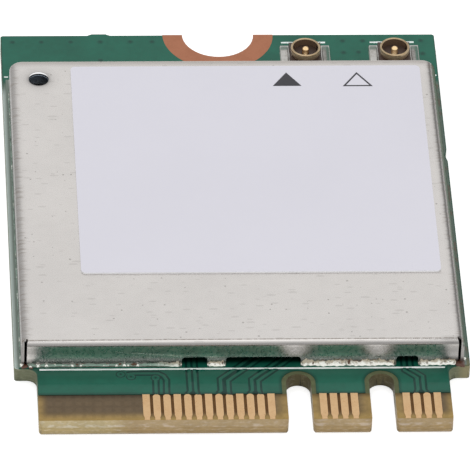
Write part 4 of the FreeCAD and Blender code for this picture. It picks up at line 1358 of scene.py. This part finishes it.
@dataclass
class Tracks:
    """Tracks under the mask, which run from the signal contacts under the can's front wall.

    Attributes:
        half_width: half of a track.
        gap: clear strip beside a track.
        soft: slope at a strip's outer edge and at a track's flank.
        rise: height of a track's relief.
        film: height of the lacquer over a gap.
        inside: Y at which a track ends under the can.
        fan: length over which a pair closes up behind its contacts.
        contact_half: half of the contacts' pitch.
        singles: middle lines of the tracks that run alone.
    """

    half_width: float = 0.065
    gap: float = 0.11
    soft: float = 0.02
    rise: float = 0.012
    film: float = 0.003
    inside: float = 6.0
    fan: float = 0.22
    contact_half: float = 0.25
    singles: tuple[tuple[Point, ...], ...] = (
        ((-4.25, CONTACT_END), (-4.235, 3.1)),
        ((-3.75, CONTACT_END), (-3.72, 3.1), (-3.86, 3.42), (-4.1, 3.6), (-5.3, 3.6), (-5.6, 3.55)),
    )

    def pairs(self) -> list[tuple[float, float, list[Point]]]:
        """Pairs as X between their contacts, half spacing behind them, and the bends of the middle line."""
        end = self.inside
        return [
            (-2.5, 0.135, [(-2.47, end)]),
            (-1.0, 0.175, [(-0.95, 3.08), (-0.95 + end - 3.08, end)]),
            (0.5, 0.15, [(0.53, 3.05), (0.53 + end - 3.05, end)]),
            (8.5, 0.14, [(8.49, 3.2), (7.94, 3.75), (7.94, end)]),
        ]

    def strip(
        self, frame: CardFrame, middle: np.ndarray, half_spacing: np.ndarray
    ) -> tuple[Shape, np.ndarray]:
        """A strip of lacquer over two tracks, or over one where the half spacing is 0.

        The strip's cross-section is a row of flat lanes: ground, gap, track, gap, track, gap, ground,
        with its points carried along the middle line on mitred normals.

        Args:
            frame: the card's lines.
            middle: points of the middle line, (n, 2).
            half_spacing: half the spacing of the two tracks at each point.

        Returns:
            The shape, and its copper attribute.
        """
        step = np.diff(middle, axis=0)
        step /= np.linalg.norm(step, axis=1, keepdims=True)
        before, after = np.vstack([step[:1], step]), np.vstack([step, step[-1:]])
        tangent = before + after
        tangent /= np.linalg.norm(tangent, axis=1, keepdims=True)
        stretch = 1 / (tangent * after).sum(axis=1)
        normal = np.stack([tangent[:, 1], -tangent[:, 0]], axis=1) * stretch[:, None]
        half, gap, soft = self.half_width, self.gap, self.soft
        lanes = np.array([half + gap + soft, half + gap, half + soft, half])
        level = np.array([LIFT, self.film, self.film, self.rise])
        value = np.array([0.5, 0.0, 0.0, 1.0])
        if half_spacing.any():
            lanes = np.concatenate([lanes, [-half, -half - soft]])
            level = np.concatenate([level, [self.rise, self.film]])
            value = np.concatenate([value, [1.0, 0.0]])
        right = half_spacing[:, None] + lanes
        across = np.concatenate([-right, right[:, ::-1]], axis=1)
        level, value = (np.concatenate([a, a[::-1]]) for a in (level, value))
        points = middle[:, None, :] + normal[:, None, :] * across[..., None]
        grid = frame.on_board(points[..., 0], points[..., 1], np.broadcast_to(level, across.shape))
        rows, columns, _ = grid.shape
        quads = grid_quads(rows, columns, False)
        return (grid.reshape(-1, 3), [quads]), np.broadcast_to(value, across.shape).ravel()

    def build(self, frame: CardFrame) -> None:
        """Lay every strip in one piece."""
        strips = []
        for start, close, bends in self.pairs():
            line = [(start, CONTACT_END), (bends[0][0], CONTACT_END + self.fan), *bends]
            spacing = np.array([self.contact_half] + [close] * (len(line) - 1))
            strips.append(self.strip(frame, np.array(line), spacing))
        for line in self.singles:
            strips.append(self.strip(frame, np.array(line), np.zeros(len(line))))
        shape = join_shapes([shape for shape, _ in strips])
        copper = np.concatenate([values for _, values in strips])
        add_piece("mask_over_tracks", shape, TRACK_FINISH, {"copper": copper})


@dataclass
class Vias:
    """Lacquered via holes: ringed ones that stand clear of the copper, and plain dimples.

    Attributes:
        ring: radius of a ring's copper.
        clear: radius of the clearing round it.
        hole: radius of the dimple.
        slope: width of a step's slope.
        height: height of the ring's crest.
        segments: points round each via.
        ringed: places of the ringed vias.
        back_row: X of the plain vias along the far edge.
        back_line: Y of that row.
        back_rest: places of the other plain vias.
    """

    ring: float = 0.18
    clear: float = 0.235
    hole: float = 0.1
    slope: float = 0.02
    height: float = 0.0145
    segments: int = 24
    ringed: tuple[Point, ...] = ((-4.234, 3.258), (-5.415, 3.344), (-5.904, 3.533))
    back_row: tuple[float, ...] = (-10.40, -8.94, -7.46, -5.96, -4.44, -3.34, 6.32, 7.34, 10.29)
    back_line: float = 29.45
    back_rest: tuple[Point, ...] = ((6.32, 28.5), (7.08, 28.53), (10.32, 28.39), (-6.0, 27.93))

    def turned(self, frame: CardFrame, centre: Point, radius: np.ndarray, height: np.ndarray) -> Shape:
        """A profile of radius and height turned about a via's upright, closed at its middle."""
        angle = np.linspace(0, 2 * math.pi, self.segments, endpoint=False)
        x = centre[0] + radius[:, None] * np.cos(angle)
        y = centre[1] + radius[:, None] * np.sin(angle)
        grid = frame.on_board(x, y, height[:, None])
        rows, columns, _ = grid.shape
        middle = (rows - 1) * columns + np.arange(columns)[None, :]
        return grid.reshape(-1, 3), [grid_quads(rows, columns, True), middle]

    def build(self, frame: CardFrame) -> None:
        """Form every via in one piece."""
        ring, clear, hole, slope = self.ring, self.clear, self.hole, self.slope
        plain = [(x, self.back_line) for x in self.back_row] + list(self.back_rest)
        ringed_radius = np.array([clear + slope, clear, ring + slope, ring, hole, 0.5 * hole, 0.2 * hole])
        ringed_level = (0.05, 0.3, 0.3, 1.0, 0.95, 0.5, 0.45)
        ringed_copper = (0.5, 0.0, 0.0, 0.8, 0.6, 0.1, 0.0)
        plain_radius = np.array([2.0, 1.3, 0.8, 0.1]) * hole
        plain_level = (0.05, 0.3, 0.25, 0.2)
        plain_copper = (0.5, 0.32, 0.2, 0.12)
        kinds = (
            (self.ringed, ringed_radius, ringed_level, ringed_copper),
            (plain, plain_radius, plain_level, plain_copper),
        )
        shapes, values = [], []
        for places, radius, level, copper in kinds:
            shapes += [self.turned(frame, place, radius, np.array(level) * self.height) for place in places]
            values += [np.repeat(copper, self.segments)] * len(places)
        copper = {"copper": np.concatenate(values)}
        add_piece("lacquered_vias", join_shapes(shapes), TRACK_FINISH, copper)


@dataclass
class Silkscreen:
    """White legend lines printed on the mask: each a low strip with sloped flanks.

    Attributes:
        thickness: height of the ink.
        flank: width of a flank.
        width: width of the front line and of the ticks.
        bar_width: width of the bars behind the sockets.
        front_line: Y of the front line.
        front_reach: X of its ends.
        socket_bar: Y of the bars.
        socket_middles: X of their middles.
        socket_half: half of their length.
        tick_line: Y of the ticks at the board's sides.
        tick_reach: distances of their ends from the middle line.
        stations: points along a millimetre of a line.
        fewest: points that the shortest line has.
    """

    thickness: float = 0.014
    flank: float = 0.03
    width: float = 0.12
    bar_width: float = 0.125
    front_line: float = 3.915
    front_reach: Pair = (-9.80, 9.76)
    socket_bar: float = 29.33
    socket_middles: Pair = (4.31, 8.81)
    socket_half: float = 1.12
    tick_line: float = 26.62
    tick_reach: Pair = (10.70, 10.90)
    stations: float = 4.5
    fewest: int = 12

    def line(self, frame: CardFrame, reach: Pair, along: float, width: float, seed: int) -> Shape:
        """A strip along X whose width wanders a little, as printed ink does."""
        start, stop = reach
        rng = np.random.default_rng(seed)
        x = np.linspace(start, stop, max(self.fewest, int(self.stations * (stop - start))))
        half = width / 2 * wander(x, rng, 0.05, (0.9, 2.3, 5.1))
        half = half * np.clip(0.94 + np.minimum(x - x[0], x[-1] - x), 0, 1)
        across = np.stack([-half, -half + self.flank, half - self.flank, half], axis=1)
        level = np.array([LIFT, self.thickness, self.thickness, LIFT])
        grid = frame.on_board(x[:, None], along + across, np.broadcast_to(level, across.shape))
        return closed_tube(grid)

    def build(self, frame: CardFrame) -> None:
        """Print every line as one piece."""
        lines = [self.line(frame, self.front_reach, self.front_line, self.width, 11)]
        for middle in self.socket_middles:
            reach = (middle - self.socket_half, middle + self.socket_half)
            lines.append(self.line(frame, reach, self.socket_bar, self.bar_width, 12))
        low, high = self.tick_reach
        lines.append(self.line(frame, (-high, -low), self.tick_line, self.width, 13))
        lines.append(self.line(frame, (low, high), self.tick_line, self.width, 14))
        add_piece("silkscreen", join_shapes(lines), LEGEND_INK)


@dataclass
class ShieldCan:
    """The folded can, the uneven solder at its feet, and its label.

    Attributes:
        reach: how far the solder runs out on the board.
        crest: how far it climbs the wall.
        sink: depth that it goes into the wall and the board, so that no slit shows.
        front_gaps: openings of the front wall, from left to right.
        back_gaps: openings of the back wall.
        front_end: where the front wall ends at its slits.
        back_corner: rounding of the back corners.
        slit: depth of the slits.
        spacing: distance of the loops along a bead.
        arc_points: points of a bead's surface in one loop.
        end_length: length over which a bead falls off at its ends.
        end_share: share of it that is left there.
        thin_size: share of the full bead along the other walls.
        fullness: share of the full bead along the front wall, by X.
        flux_spots: X and radius of the flux left on the front bead.
        flux_lane: middle and half width of those across the bead, as shares of a loop.
        flux_line: how much flux lies along the front bead's upper edge.
        flux_from: share of the crest above which that starts.
        film_below: share of the full bead under which solder looks thin, and the range of that.
        drops: X, Y from the tip and radius of the flux drops at the slits' feet.
        blobs: the same of the solder blobs there and along the front wall.
        drop_height: height of a drop, as a share of its radius.
        blob_height: the same of a blob.
        dome_points: points round a drop or blob.
        dome_rings: rings of them from its rim to its middle.
        burr: height of the burr on the vent's far rim.
        burr_arc: angles of its ends, in degrees.
        burr_least: its radius at its ends.
        burr_loops: loops along it.
        burr_points: points of a loop.
    """

    reach: float = 0.19
    crest: float = 0.24
    sink: float = 0.012
    front_gaps: tuple[Pair, ...] = ((-2.935, -1.705), (-0.81, 2.81), (7.415, 8.485))
    back_gaps: tuple[Pair, ...] = ((3.91, 4.81), (8.42, 9.32))
    front_end: float = 10.40
    back_corner: float = 0.65
    slit: float = 0.35
    spacing: float = 0.05
    arc_points: int = 9
    end_length: float = 0.12
    end_share: float = 0.3
    thin_size: float = 0.25
    fullness: Stops = (
        (-10.4, 0.5), (-8.0, 0.38), (-6.0, 0.5), (-5.0, 0.45), (-4.2, 0.58), (-3.3, 0.75), (-2.9, 0.86),
        (2.8, 0.9), (4.0, 1.0), (10.4, 0.93),
    )
    flux_spots: Stops = (
        (-7.98, 0.13), (-5.9, 0.11), (-5.3, 0.17), (-0.98, 0.05), (3.4, 0.05), (5.12, 0.07)
    )
    flux_lane: Pair = (0.45, 0.4)
    flux_line: float = 0.42
    flux_from: float = 0.6
    film_below: Pair = (0.85, 0.3)
    drops: tuple[Place, ...] = (
        (-10.52, 4.18, 0.17), (-10.2, 4.06, 0.1), (10.51, 4.18, 0.26)
    )
    blobs: tuple[Place, ...] = (
        (-10.64, 4.24, 0.1), (-10.22, 4.12, 0.085), (-9.86, 4.19, 0.12), (-9.45, 4.2, 0.10),
        (-8.2, 4.19, 0.09), (-7.8, 4.2, 0.065), (-6.69, 4.2, 0.04), (-6.08, 4.19, 0.08), (-5.7, 4.19, 0.1),
        (-5.52, 4.2, 0.07), (-5.06, 4.19, 0.085), (-1.58, 4.18, 0.08), (-0.87, 4.16, 0.065),
        (10.74, 4.5, 0.09),
    )
    drop_height: float = 0.45
    blob_height: float = 1.1
    dome_points: int = 28
    dome_rings: int = 7
    burr: float = 0.05
    burr_arc: Pair = (25.0, 155.0)
    burr_least: float = 0.003
    burr_loops: int = 40
    burr_points: int = 10

    def dress(self, nodes: Nodes) -> None:
        """Give the can and its label their finishes."""
        smooth_copy(nodes["shield_can"], Slot.SHIELD)
        dress_node(nodes["label"], Slot.LABEL)
        dress_node(nodes["shield_solder"], Slot.SOLDER)

    def stretches(self, gaps: Sequence[Pair], end: float) -> list[Pair]:
        """Stretches of a wall between its openings."""
        edges = [-end, *(edge for gap in gaps for edge in gap), end]
        return list(zip(edges[0::2], edges[1::2]))

    def bead(
        self,
        frame: CardFrame,
        start: np.ndarray,
        stop: np.ndarray,
        outward: np.ndarray,
        rng: np.random.Generator,
    ) -> tuple[Shape, np.ndarray]:
        """Solder along one stretch of a wall's foot.

        Each loop is a hollow quarter arc from the board up to the wall, filled out to a bulge by an
        uneven share, and closed through the wall and the board. Reach and crest wander along it and
        fall off at its ends.

        Args:
            frame: the card's lines.
            start: first point of the foot, (X, Y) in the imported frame.
            stop: last point.
            outward: direction away from the can.
            rng: seeded random numbers.

        Returns:
            The bead's shape, and rows of the flux, dullness and thinness at each point.
        """
        length = float(np.linalg.norm(stop - start))
        count = max(6, int(length / self.spacing))
        share = np.linspace(0, 1, count)
        along = share * length
        foot = start + share[:, None] * (stop - start)
        ends = np.clip(np.minimum(along, length - along) / self.end_length, 0, 1)
        ends = self.end_share + (1 - self.end_share) * ends * ends * (3 - 2 * ends)
        in_front = outward[1] < -0.5
        size = np.interp(foot[:, 0], *zip(*self.fullness)) if in_front else np.full(count, self.thin_size)
        reach = size * self.reach * ends * wander(along, rng, 0.12, (0.31, 0.83, 1.9))
        crest = size * self.crest * ends * wander(along, rng, 0.16, (0.27, 0.71, 1.6))
        bulge = np.clip(0.3 * wander(along, rng, 0.7, (0.23, 0.9, 2.2)), 0, 0.8)
        turn = np.linspace(0, math.pi / 2, self.arc_points)
        hollow = np.stack([1 - np.sin(turn), 1 - np.cos(turn)])
        full = np.stack([np.cos(turn), np.sin(turn)])
        arc = hollow[:, None, :] * (1 - bulge[None, :, None]) + full[:, None, :] * bulge[None, :, None]
        sunk = np.full((count, 1), -self.sink)
        out = np.concatenate([arc[0] * reach[:, None], sunk, sunk], axis=1)
        rise = np.concatenate([arc[1] * crest[:, None], crest[:, None], sunk], axis=1)
        rise[:, 0] = -self.sink / 3
        flat = foot[:, None, :] + out[..., None] * outward
        grid = np.concatenate([flat, (rise + frame.board_top)[..., None]], axis=-1)
        place, radius = np.array(self.flux_spots).T
        spots = np.exp(-(((foot[:, :1] - place) / radius) ** 2)).max(axis=1) * in_front
        over = np.clip(1.1 - 0.5 * rise / self.crest, 0, 1)
        climb = rise / crest[:, None]
        line = self.flux_line * in_front * np.clip(climb - self.flux_from, 0, 1) / (1 - self.flux_from)
        middle, half = self.flux_lane
        lane = np.linspace(0, 1, grid.shape[1])
        round_spots = spots[:, None] * over * np.exp(-(((lane - middle) / half) ** 2))
        flux = np.maximum(round_spots, line).ravel()
        dull = (np.clip(climb, 0, 1) ** 0.8).ravel()
        below, span = self.film_below
        thin = np.repeat(np.clip((below - size) / span, 0, 1), grid.shape[1])
        return closed_tube(grid), np.stack([flux, dull, thin])

    def build_solder(self, frame: CardFrame) -> None:
        """Run the solder round the can's feet, full in front and thin elsewhere."""
        rng = np.random.default_rng(5)
        (left, front, _), (right, back, _) = frame.can_low, frame.can_high
        runs = []
        for start, stop in self.stretches(self.front_gaps, self.front_end):
            runs.append(((start, front), (stop, front), (0.0, -1.0)))
        for start, stop in self.stretches(self.back_gaps, right - self.back_corner):
            runs.append(((start, back), (stop, back), (0.0, 1.0)))
        for side, sign in ((left, -1.0), (right, 1.0)):
            runs.append(((side, front + self.slit), (side, back - self.back_corner), (sign, 0.0)))
        beads = [self.bead(frame, *(np.array(value) for value in run), rng) for run in runs]
        flux, dull, thin = np.concatenate([values for _, values in beads], axis=1)
        shape = join_shapes([shape for shape, _ in beads])
        skin = {"flux": flux, "dull": dull, "thin": thin}
        piece = add_piece("solder_beads", shape, FINISHES[Slot.SOLDER], skin)
        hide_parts("shield_solder")

    def dome(self, frame: CardFrame, place: Place, height: float) -> Shape:
        """A drop on the board: a dome with a lobed rim, turned about its upright.

        Args:
            frame: the card's lines.
            place: X, Y from the tip and radius.
            height: its height as a share of the radius.

        Returns:
            The drop's shape.
        """
        x, y, radius = place
        angle = np.linspace(0, 2 * math.pi, self.dome_points, endpoint=False)
        turn = np.linspace(0, 0.97 * math.pi / 2, self.dome_rings)[:, None]
        lobes = 1 + 0.16 * np.sin(3 * angle + 7 * x) + 0.08 * np.sin(5 * angle + 3 * y)
        out = radius * np.cos(turn) * lobes
        rise = height * radius * np.sin(turn) - SEAT
        return closed_tube(frame.on_board(x + out * np.cos(angle), y + out * np.sin(angle), rise))

    def build_drops(self, frame: CardFrame) -> None:
        """Leave drops of flux at the slits' feet, and blobs of solder there and along the front wall."""
        drops = join_shapes([self.dome(frame, drop, self.drop_height) for drop in self.drops])
        add_piece("flux_drops", drops, FLUX)
        blobs = join_shapes([self.dome(frame, blob, self.blob_height) for blob in self.blobs])
        clean = dict.fromkeys(("flux", "dull", "thin"), np.zeros(len(blobs[0])))
        add_piece("solder_blobs", blobs, FINISHES[Slot.SOLDER], clean)

    def build_burr(self, frame: CardFrame) -> None:
        """Raise the burr on the vent's far rim, near white so that it shows a painted glint.

        A circle is carried along the far half of the rim, and grows from nothing at its ends to the
        burr's height in the middle.
        """
        x, y = VENT[0], VENT[1] - TIP
        turn = np.linspace(*np.radians(self.burr_arc), self.burr_loops)[:, None]
        round_it = np.linspace(0, 2 * math.pi, self.burr_points, endpoint=False)[None, :]
        size = self.burr_least + self.burr * np.sin((turn - turn[0]) / (turn[-1] - turn[0]) * math.pi)
        out = VENT_RADIUS + 0.4 * self.burr + size * np.cos(round_it)
        rise = frame.can_high[2] - frame.board_top + 0.6 * size * np.sin(round_it)
        grid = frame.on_board(x + out * np.cos(turn), y + out * np.sin(turn), rise)
        add_piece("vent_burr", closed_tube(grid), BURR)


@dataclass
class LabelMarks:
    """Two pointers printed on the label, a filled one and an outlined one, towards the sockets.

    Attributes:
        filled_apex: X, and Y from the tip, of the filled pointer's point.
        outlined_apex: the same of the outlined one's.
        outlined_scale: its size over the filled one's.
        half_base: half of the filled one's base.
        height: its height.
        line: width of the outline.
        ink: height of the ink.
        seat: depth that the ink goes into the label.
    """

    filled_apex: Point = (3.165, 25.05)
    outlined_apex: Point = (6.70, 25.06)
    outlined_scale: float = 1.05
    half_base: float = 0.72
    height: float = 1.08
    line: float = 0.09
    ink: float = 0.004
    seat: float = 0.001

    def corners(self, apex: Point, inset: float, scale: float = 1.0) -> np.ndarray:
        """Corners of a pointer of some scale whose sides are moved inwards by an inset."""
        height, half = self.height * scale, self.half_base * scale
        drop = inset * math.hypot(half, height) / half
        share = (height - drop - inset) / height
        x, y = apex
        top, base = y - drop, y - height + inset
        half = half * share
        return np.array([(x, top), (x - half, base), (x + half, base)])

    def build(self, frame: CardFrame) -> None:
        """Print both pointers as thin slabs."""
        face = frame.label_top - frame.board_top
        low, high = face - self.seat, face + self.ink
        solid = self.corners(self.filled_apex, 0.0)
        slab = np.stack([frame.on_board(solid[:, 0], solid[:, 1], level) for level in (low, high)])
        outer, inner = (
            self.corners(self.outlined_apex, inset, self.outlined_scale) for inset in (0.0, self.line)
        )
        loops = [(outer, low), (outer, high), (inner, high), (inner, low)]
        ring = np.stack([frame.on_board(loop[:, 0], loop[:, 1], level) for loop, level in loops], axis=1)
        ring = np.concatenate([ring, ring[:1]])
        outline = (ring.reshape(-1, 3), [grid_quads(4, 4, True)])
        add_piece("label_marks", join_shapes([closed_tube(slab), outline]), LABEL_INK)


@dataclass
class AntennaSockets:
    """Antenna sockets, and the solder that holds their feet and tails.

    Attributes:
        names: what the nodes of each are called.
        middles: X of each socket.
        line: Y of both sockets.
        foot_inner: distance of a ground foot's inner end from the socket's middle.
        foot_outer: distance of its outer end.
        foot_half: half of its length.
        foot_height: its thickness.
        margin: how far the solder stands out round a foot.
        over_foot: how far it stands above one.
        tail_half: half of a tail's width.
        tail_reach: distance of its end from the socket's middle.
        base_half: half of the base's length.
        tail_margin: how far the solder stands out beside a tail and beyond its end.
        over_tail: how far it stands above one.
        mound_points: points across and along a mound.
    """

    names: tuple[str, str] = ("main", "aux")
    middles: Pair = (FIRST_SOCKET, FIRST_SOCKET + SOCKET_PITCH)
    line: float = SOCKET_LINE - TIP
    foot_inner: float = 0.82
    foot_outer: float = 1.24
    foot_half: float = 0.75
    foot_height: float = 0.1
    margin: float = 0.015
    over_foot: float = 0.03
    tail_half: float = 0.17
    tail_reach: float = 1.1
    base_half: float = 0.85
    tail_margin: Pair = (0.06, 0.08)
    over_tail: float = 0.06
    mound_points: tuple[int, int] = (15, 25)

    def dress(self, nodes: Nodes) -> None:
        """Give each node its finish."""
        for name in self.names:
            dress_node(nodes[f"antenna_socket_{name}_housing"], Slot.INSULATOR)
            smooth_copy(nodes[f"antenna_socket_{name}_shell"], Slot.SOCKET)
            probe = smooth_copy(nodes[f"antenna_socket_{name}_probe"], Slot.SOCKET)
            probe.data.materials[0] = PROBE.material()

    def mound(self, frame: CardFrame, low: Point, high: Point, height: float) -> Shape:
        """A low mound of solder on a rectangle.

        Its height is the product of two super-elliptic crowns, one across and one along, so that it
        is full over the middle and falls to the board along a round edge.

        Args:
            frame: the card's lines.
            low: its corner of least X and Y, Y from the tip.
            high: its opposite corner.
            height: its crown above the board.

        Returns:
            The mound's shape.
        """
        across, along = self.mound_points
        u = np.linspace(-1, 1, across)[:, None]
        v = np.linspace(-1, 1, along)[None, :]
        crown = (1 - np.abs(u) ** 6) ** 0.5 * (1 - np.abs(v) ** 10) ** 0.5
        x = (low[0] + high[0]) / 2 + u * (high[0] - low[0]) / 2
        y = (low[1] + high[1]) / 2 + v * (high[1] - low[1]) / 2
        grid = frame.on_board(x, y, height * crown - SEAT)
        rows, columns, _ = grid.shape
        rim = np.concatenate(
            [
                np.arange(columns),
                np.arange(1, rows) * columns + columns - 1,
                (rows - 1) * columns + np.arange(columns - 1)[::-1],
                np.arange(1, rows - 1)[::-1] * columns,
            ]
        )
        return grid.reshape(-1, 3), [grid_quads(rows, columns, False), rim[None, ::-1]]

    def build_solder(self, frame: CardFrame) -> None:
        """Solder every foot and tail."""
        mounds = []
        for middle in self.middles:
            for sign in (-1, 1):
                ends = (middle + sign * self.foot_inner, middle + sign * (self.foot_outer + self.margin))
                low = (min(ends), self.line - self.foot_half - self.margin)
                high = (max(ends), self.line + self.foot_half + self.margin)
                mounds.append(self.mound(frame, low, high, self.foot_height + self.over_foot))
            beside, beyond = self.tail_margin
            low = (middle - self.tail_half - beside, self.line - self.tail_reach - beyond)
            high = (middle + self.tail_half + beside, self.line - self.base_half)
            mounds.append(self.mound(frame, low, high, self.foot_height + self.over_tail))
        add_piece("socket_solder", join_shapes(mounds), FINISHES[Slot.TINNED])


@dataclass
class Studio:
    """Pale floor, soft lights and the camera.

    Attributes:
        camera_place: the camera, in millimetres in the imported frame.
        look: direction that it looks in.
        roll: its turn about that direction, in degrees.
        film: width of its film.
        lens: its focal length.
        clip: nearest and furthest distance that it sees, in metres.
        floor_size: side of the floor.
        floor_drop: how far the floor lies under the card.
        floor_grey: colour of the floor as a matt surface.
        floor_glow: light that it adds to what the eye and mirrors see, and more to the eye.
        fill: strength of the surroundings' light on matt surfaces.
        lights: name and place of each softbox.
        light_size: side of a softbox.
        light_watts: its power.
    """

    camera_place: Place = (-22.798, -302.471, 248.907)
    look: Place = (0.0585849, 0.7707769, -0.6344059)
    roll: float = 2.44
    film: float = 36.0
    lens: float = 609.8
    clip: Pair = (0.01, 10.0)
    floor_size: float = 1500.0
    floor_drop: float = 0.02
    floor_grey: Colour = (0.8, 0.8, 0.8)
    floor_glow: Pair = (0.45, 0.15)
    fill: float = 0.55
    lights: tuple[tuple[str, Place], ...] = (
        ("key_softbox", (-120.0, 160.0, 330.0)),
        ("front_fill", (60.0, -260.0, 260.0)),
    )
    light_size: float = 260.0
    light_watts: float = 0.42

    def build(self) -> None:
        """Set up the view settings, world, floor, lights and camera."""
        bpy.context.scene.view_settings.view_transform = "Standard"
        self.add_world()
        self.add_floor()
        for name, place in self.lights:
            self.add_light(name, place)
        self.add_camera()

    def seen_directly(self, graph: Graph) -> Socket:
        """1 for rays from the camera, a mirror or glass, and 0 for the rest."""
        path = graph.add("LightPath").outputs
        either = graph.math("MAXIMUM", path["Is Camera Ray"], path["Is Glossy Ray"])
        return graph.math("MAXIMUM", either, path["Is Transmission Ray"])

    def add_world(self) -> None:
        """White to the eye, softer as a light."""
        world = bpy.data.worlds.new("studio")
        bpy.context.scene.world = world
        world.use_nodes = True
        graph = Graph(world.node_tree)
        backdrop = world.node_tree.nodes["Background"]
        strength = graph.between(self.seen_directly(graph), self.fill, 1.0)
        graph.feed(backdrop, {"Color": (*WHITE, 1.0), "Strength": strength})

    def add_floor(self) -> None:
        """Pale floor that keeps the card's shadow and is white elsewhere."""
        half = self.floor_size * MM / 2
        mesh = bpy.data.meshes.new("floor")
        drop = -self.floor_drop * MM
        corners = [(-half, -half, drop), (half, -half, drop), (half, half, drop), (-half, half, drop)]
        mesh.from_pydata(corners, [], [(0, 1, 2, 3)])
        floor = bpy.data.objects.new("floor", mesh)
        bpy.context.scene.collection.objects.link(floor)
        material = bpy.data.materials.new("pale_floor")
        material.use_nodes = True
        graph = Graph(material.node_tree)
        shader = material.node_tree.nodes["Principled BSDF"]
        direct, to_eye = self.floor_glow
        glow = graph.times(self.seen_directly(graph), direct)
        glow = graph.math("ADD", glow, graph.times(graph.add("LightPath").outputs["Is Camera Ray"], to_eye))
        finish = {
            "Base Color": (*self.floor_grey, 1.0),
            "Roughness": 0.9,
            "Emission Color": (*WHITE, 1.0),
            "Emission Strength": glow,
        }
        graph.feed(shader, finish)
        mesh.materials.append(material)

    def add_light(self, name: str, place: Place) -> None:
        """A square softbox that faces the card."""
        data = bpy.data.lights.new(name, "AREA")
        data.size = self.light_size * MM
        data.energy = self.light_watts
        lamp = bpy.data.objects.new(name, data)
        lamp.location = Vector(place) * MM
        lamp.rotation_euler = (-lamp.location).to_track_quat("-Z", "Y").to_euler()
        lamp.visible_glossy = False
        bpy.context.scene.collection.objects.link(lamp)

    def add_camera(self) -> None:
        """The photograph's view."""
        data = bpy.data.cameras.new("camera")
        data.sensor_width = self.film
        data.lens = self.lens
        data.clip_start, data.clip_end = self.clip
        camera = bpy.data.objects.new("camera", data)
        roll = Matrix.Rotation(math.radians(self.roll), 3, "Z")
        turn = Vector(self.look).to_track_quat("-Z", "Y").to_matrix() @ roll
        camera.matrix_world = Matrix.Translation(Vector(self.camera_place) * MM) @ turn.to_4x4()
        bpy.context.scene.collection.objects.link(camera)
        bpy.context.scene.camera = camera


def main() -> None:
    """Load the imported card, dress it, add what the solids leave out, and set up the studio."""
    logging.basicConfig(level=logging.INFO, format="%(message)s")
    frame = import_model()
    nodes = frame["nodes"]
    card = CardFrame.read()
    for name, slot in BOARD_SLOTS.items():
        dress_node(nodes[name], slot)
    smooth_copy(nodes["circuit_board"], Slot.LAMINATE)
    Tracks().build(card)
    Vias().build(card)
    Silkscreen().build(card)
    can = ShieldCan()
    can.dress(nodes)
    can.build_solder(card)
    can.build_drops(card)
    can.build_burr(card)
    LabelMarks().build(card)
    sockets = AntennaSockets()
    sockets.dress(nodes)
    sockets.build_solder(card)
    for name, slot in INNER_SLOTS.items():
        dress_node(nodes[name], slot)
    Studio().build()


if __name__ == "__main__":
    main()
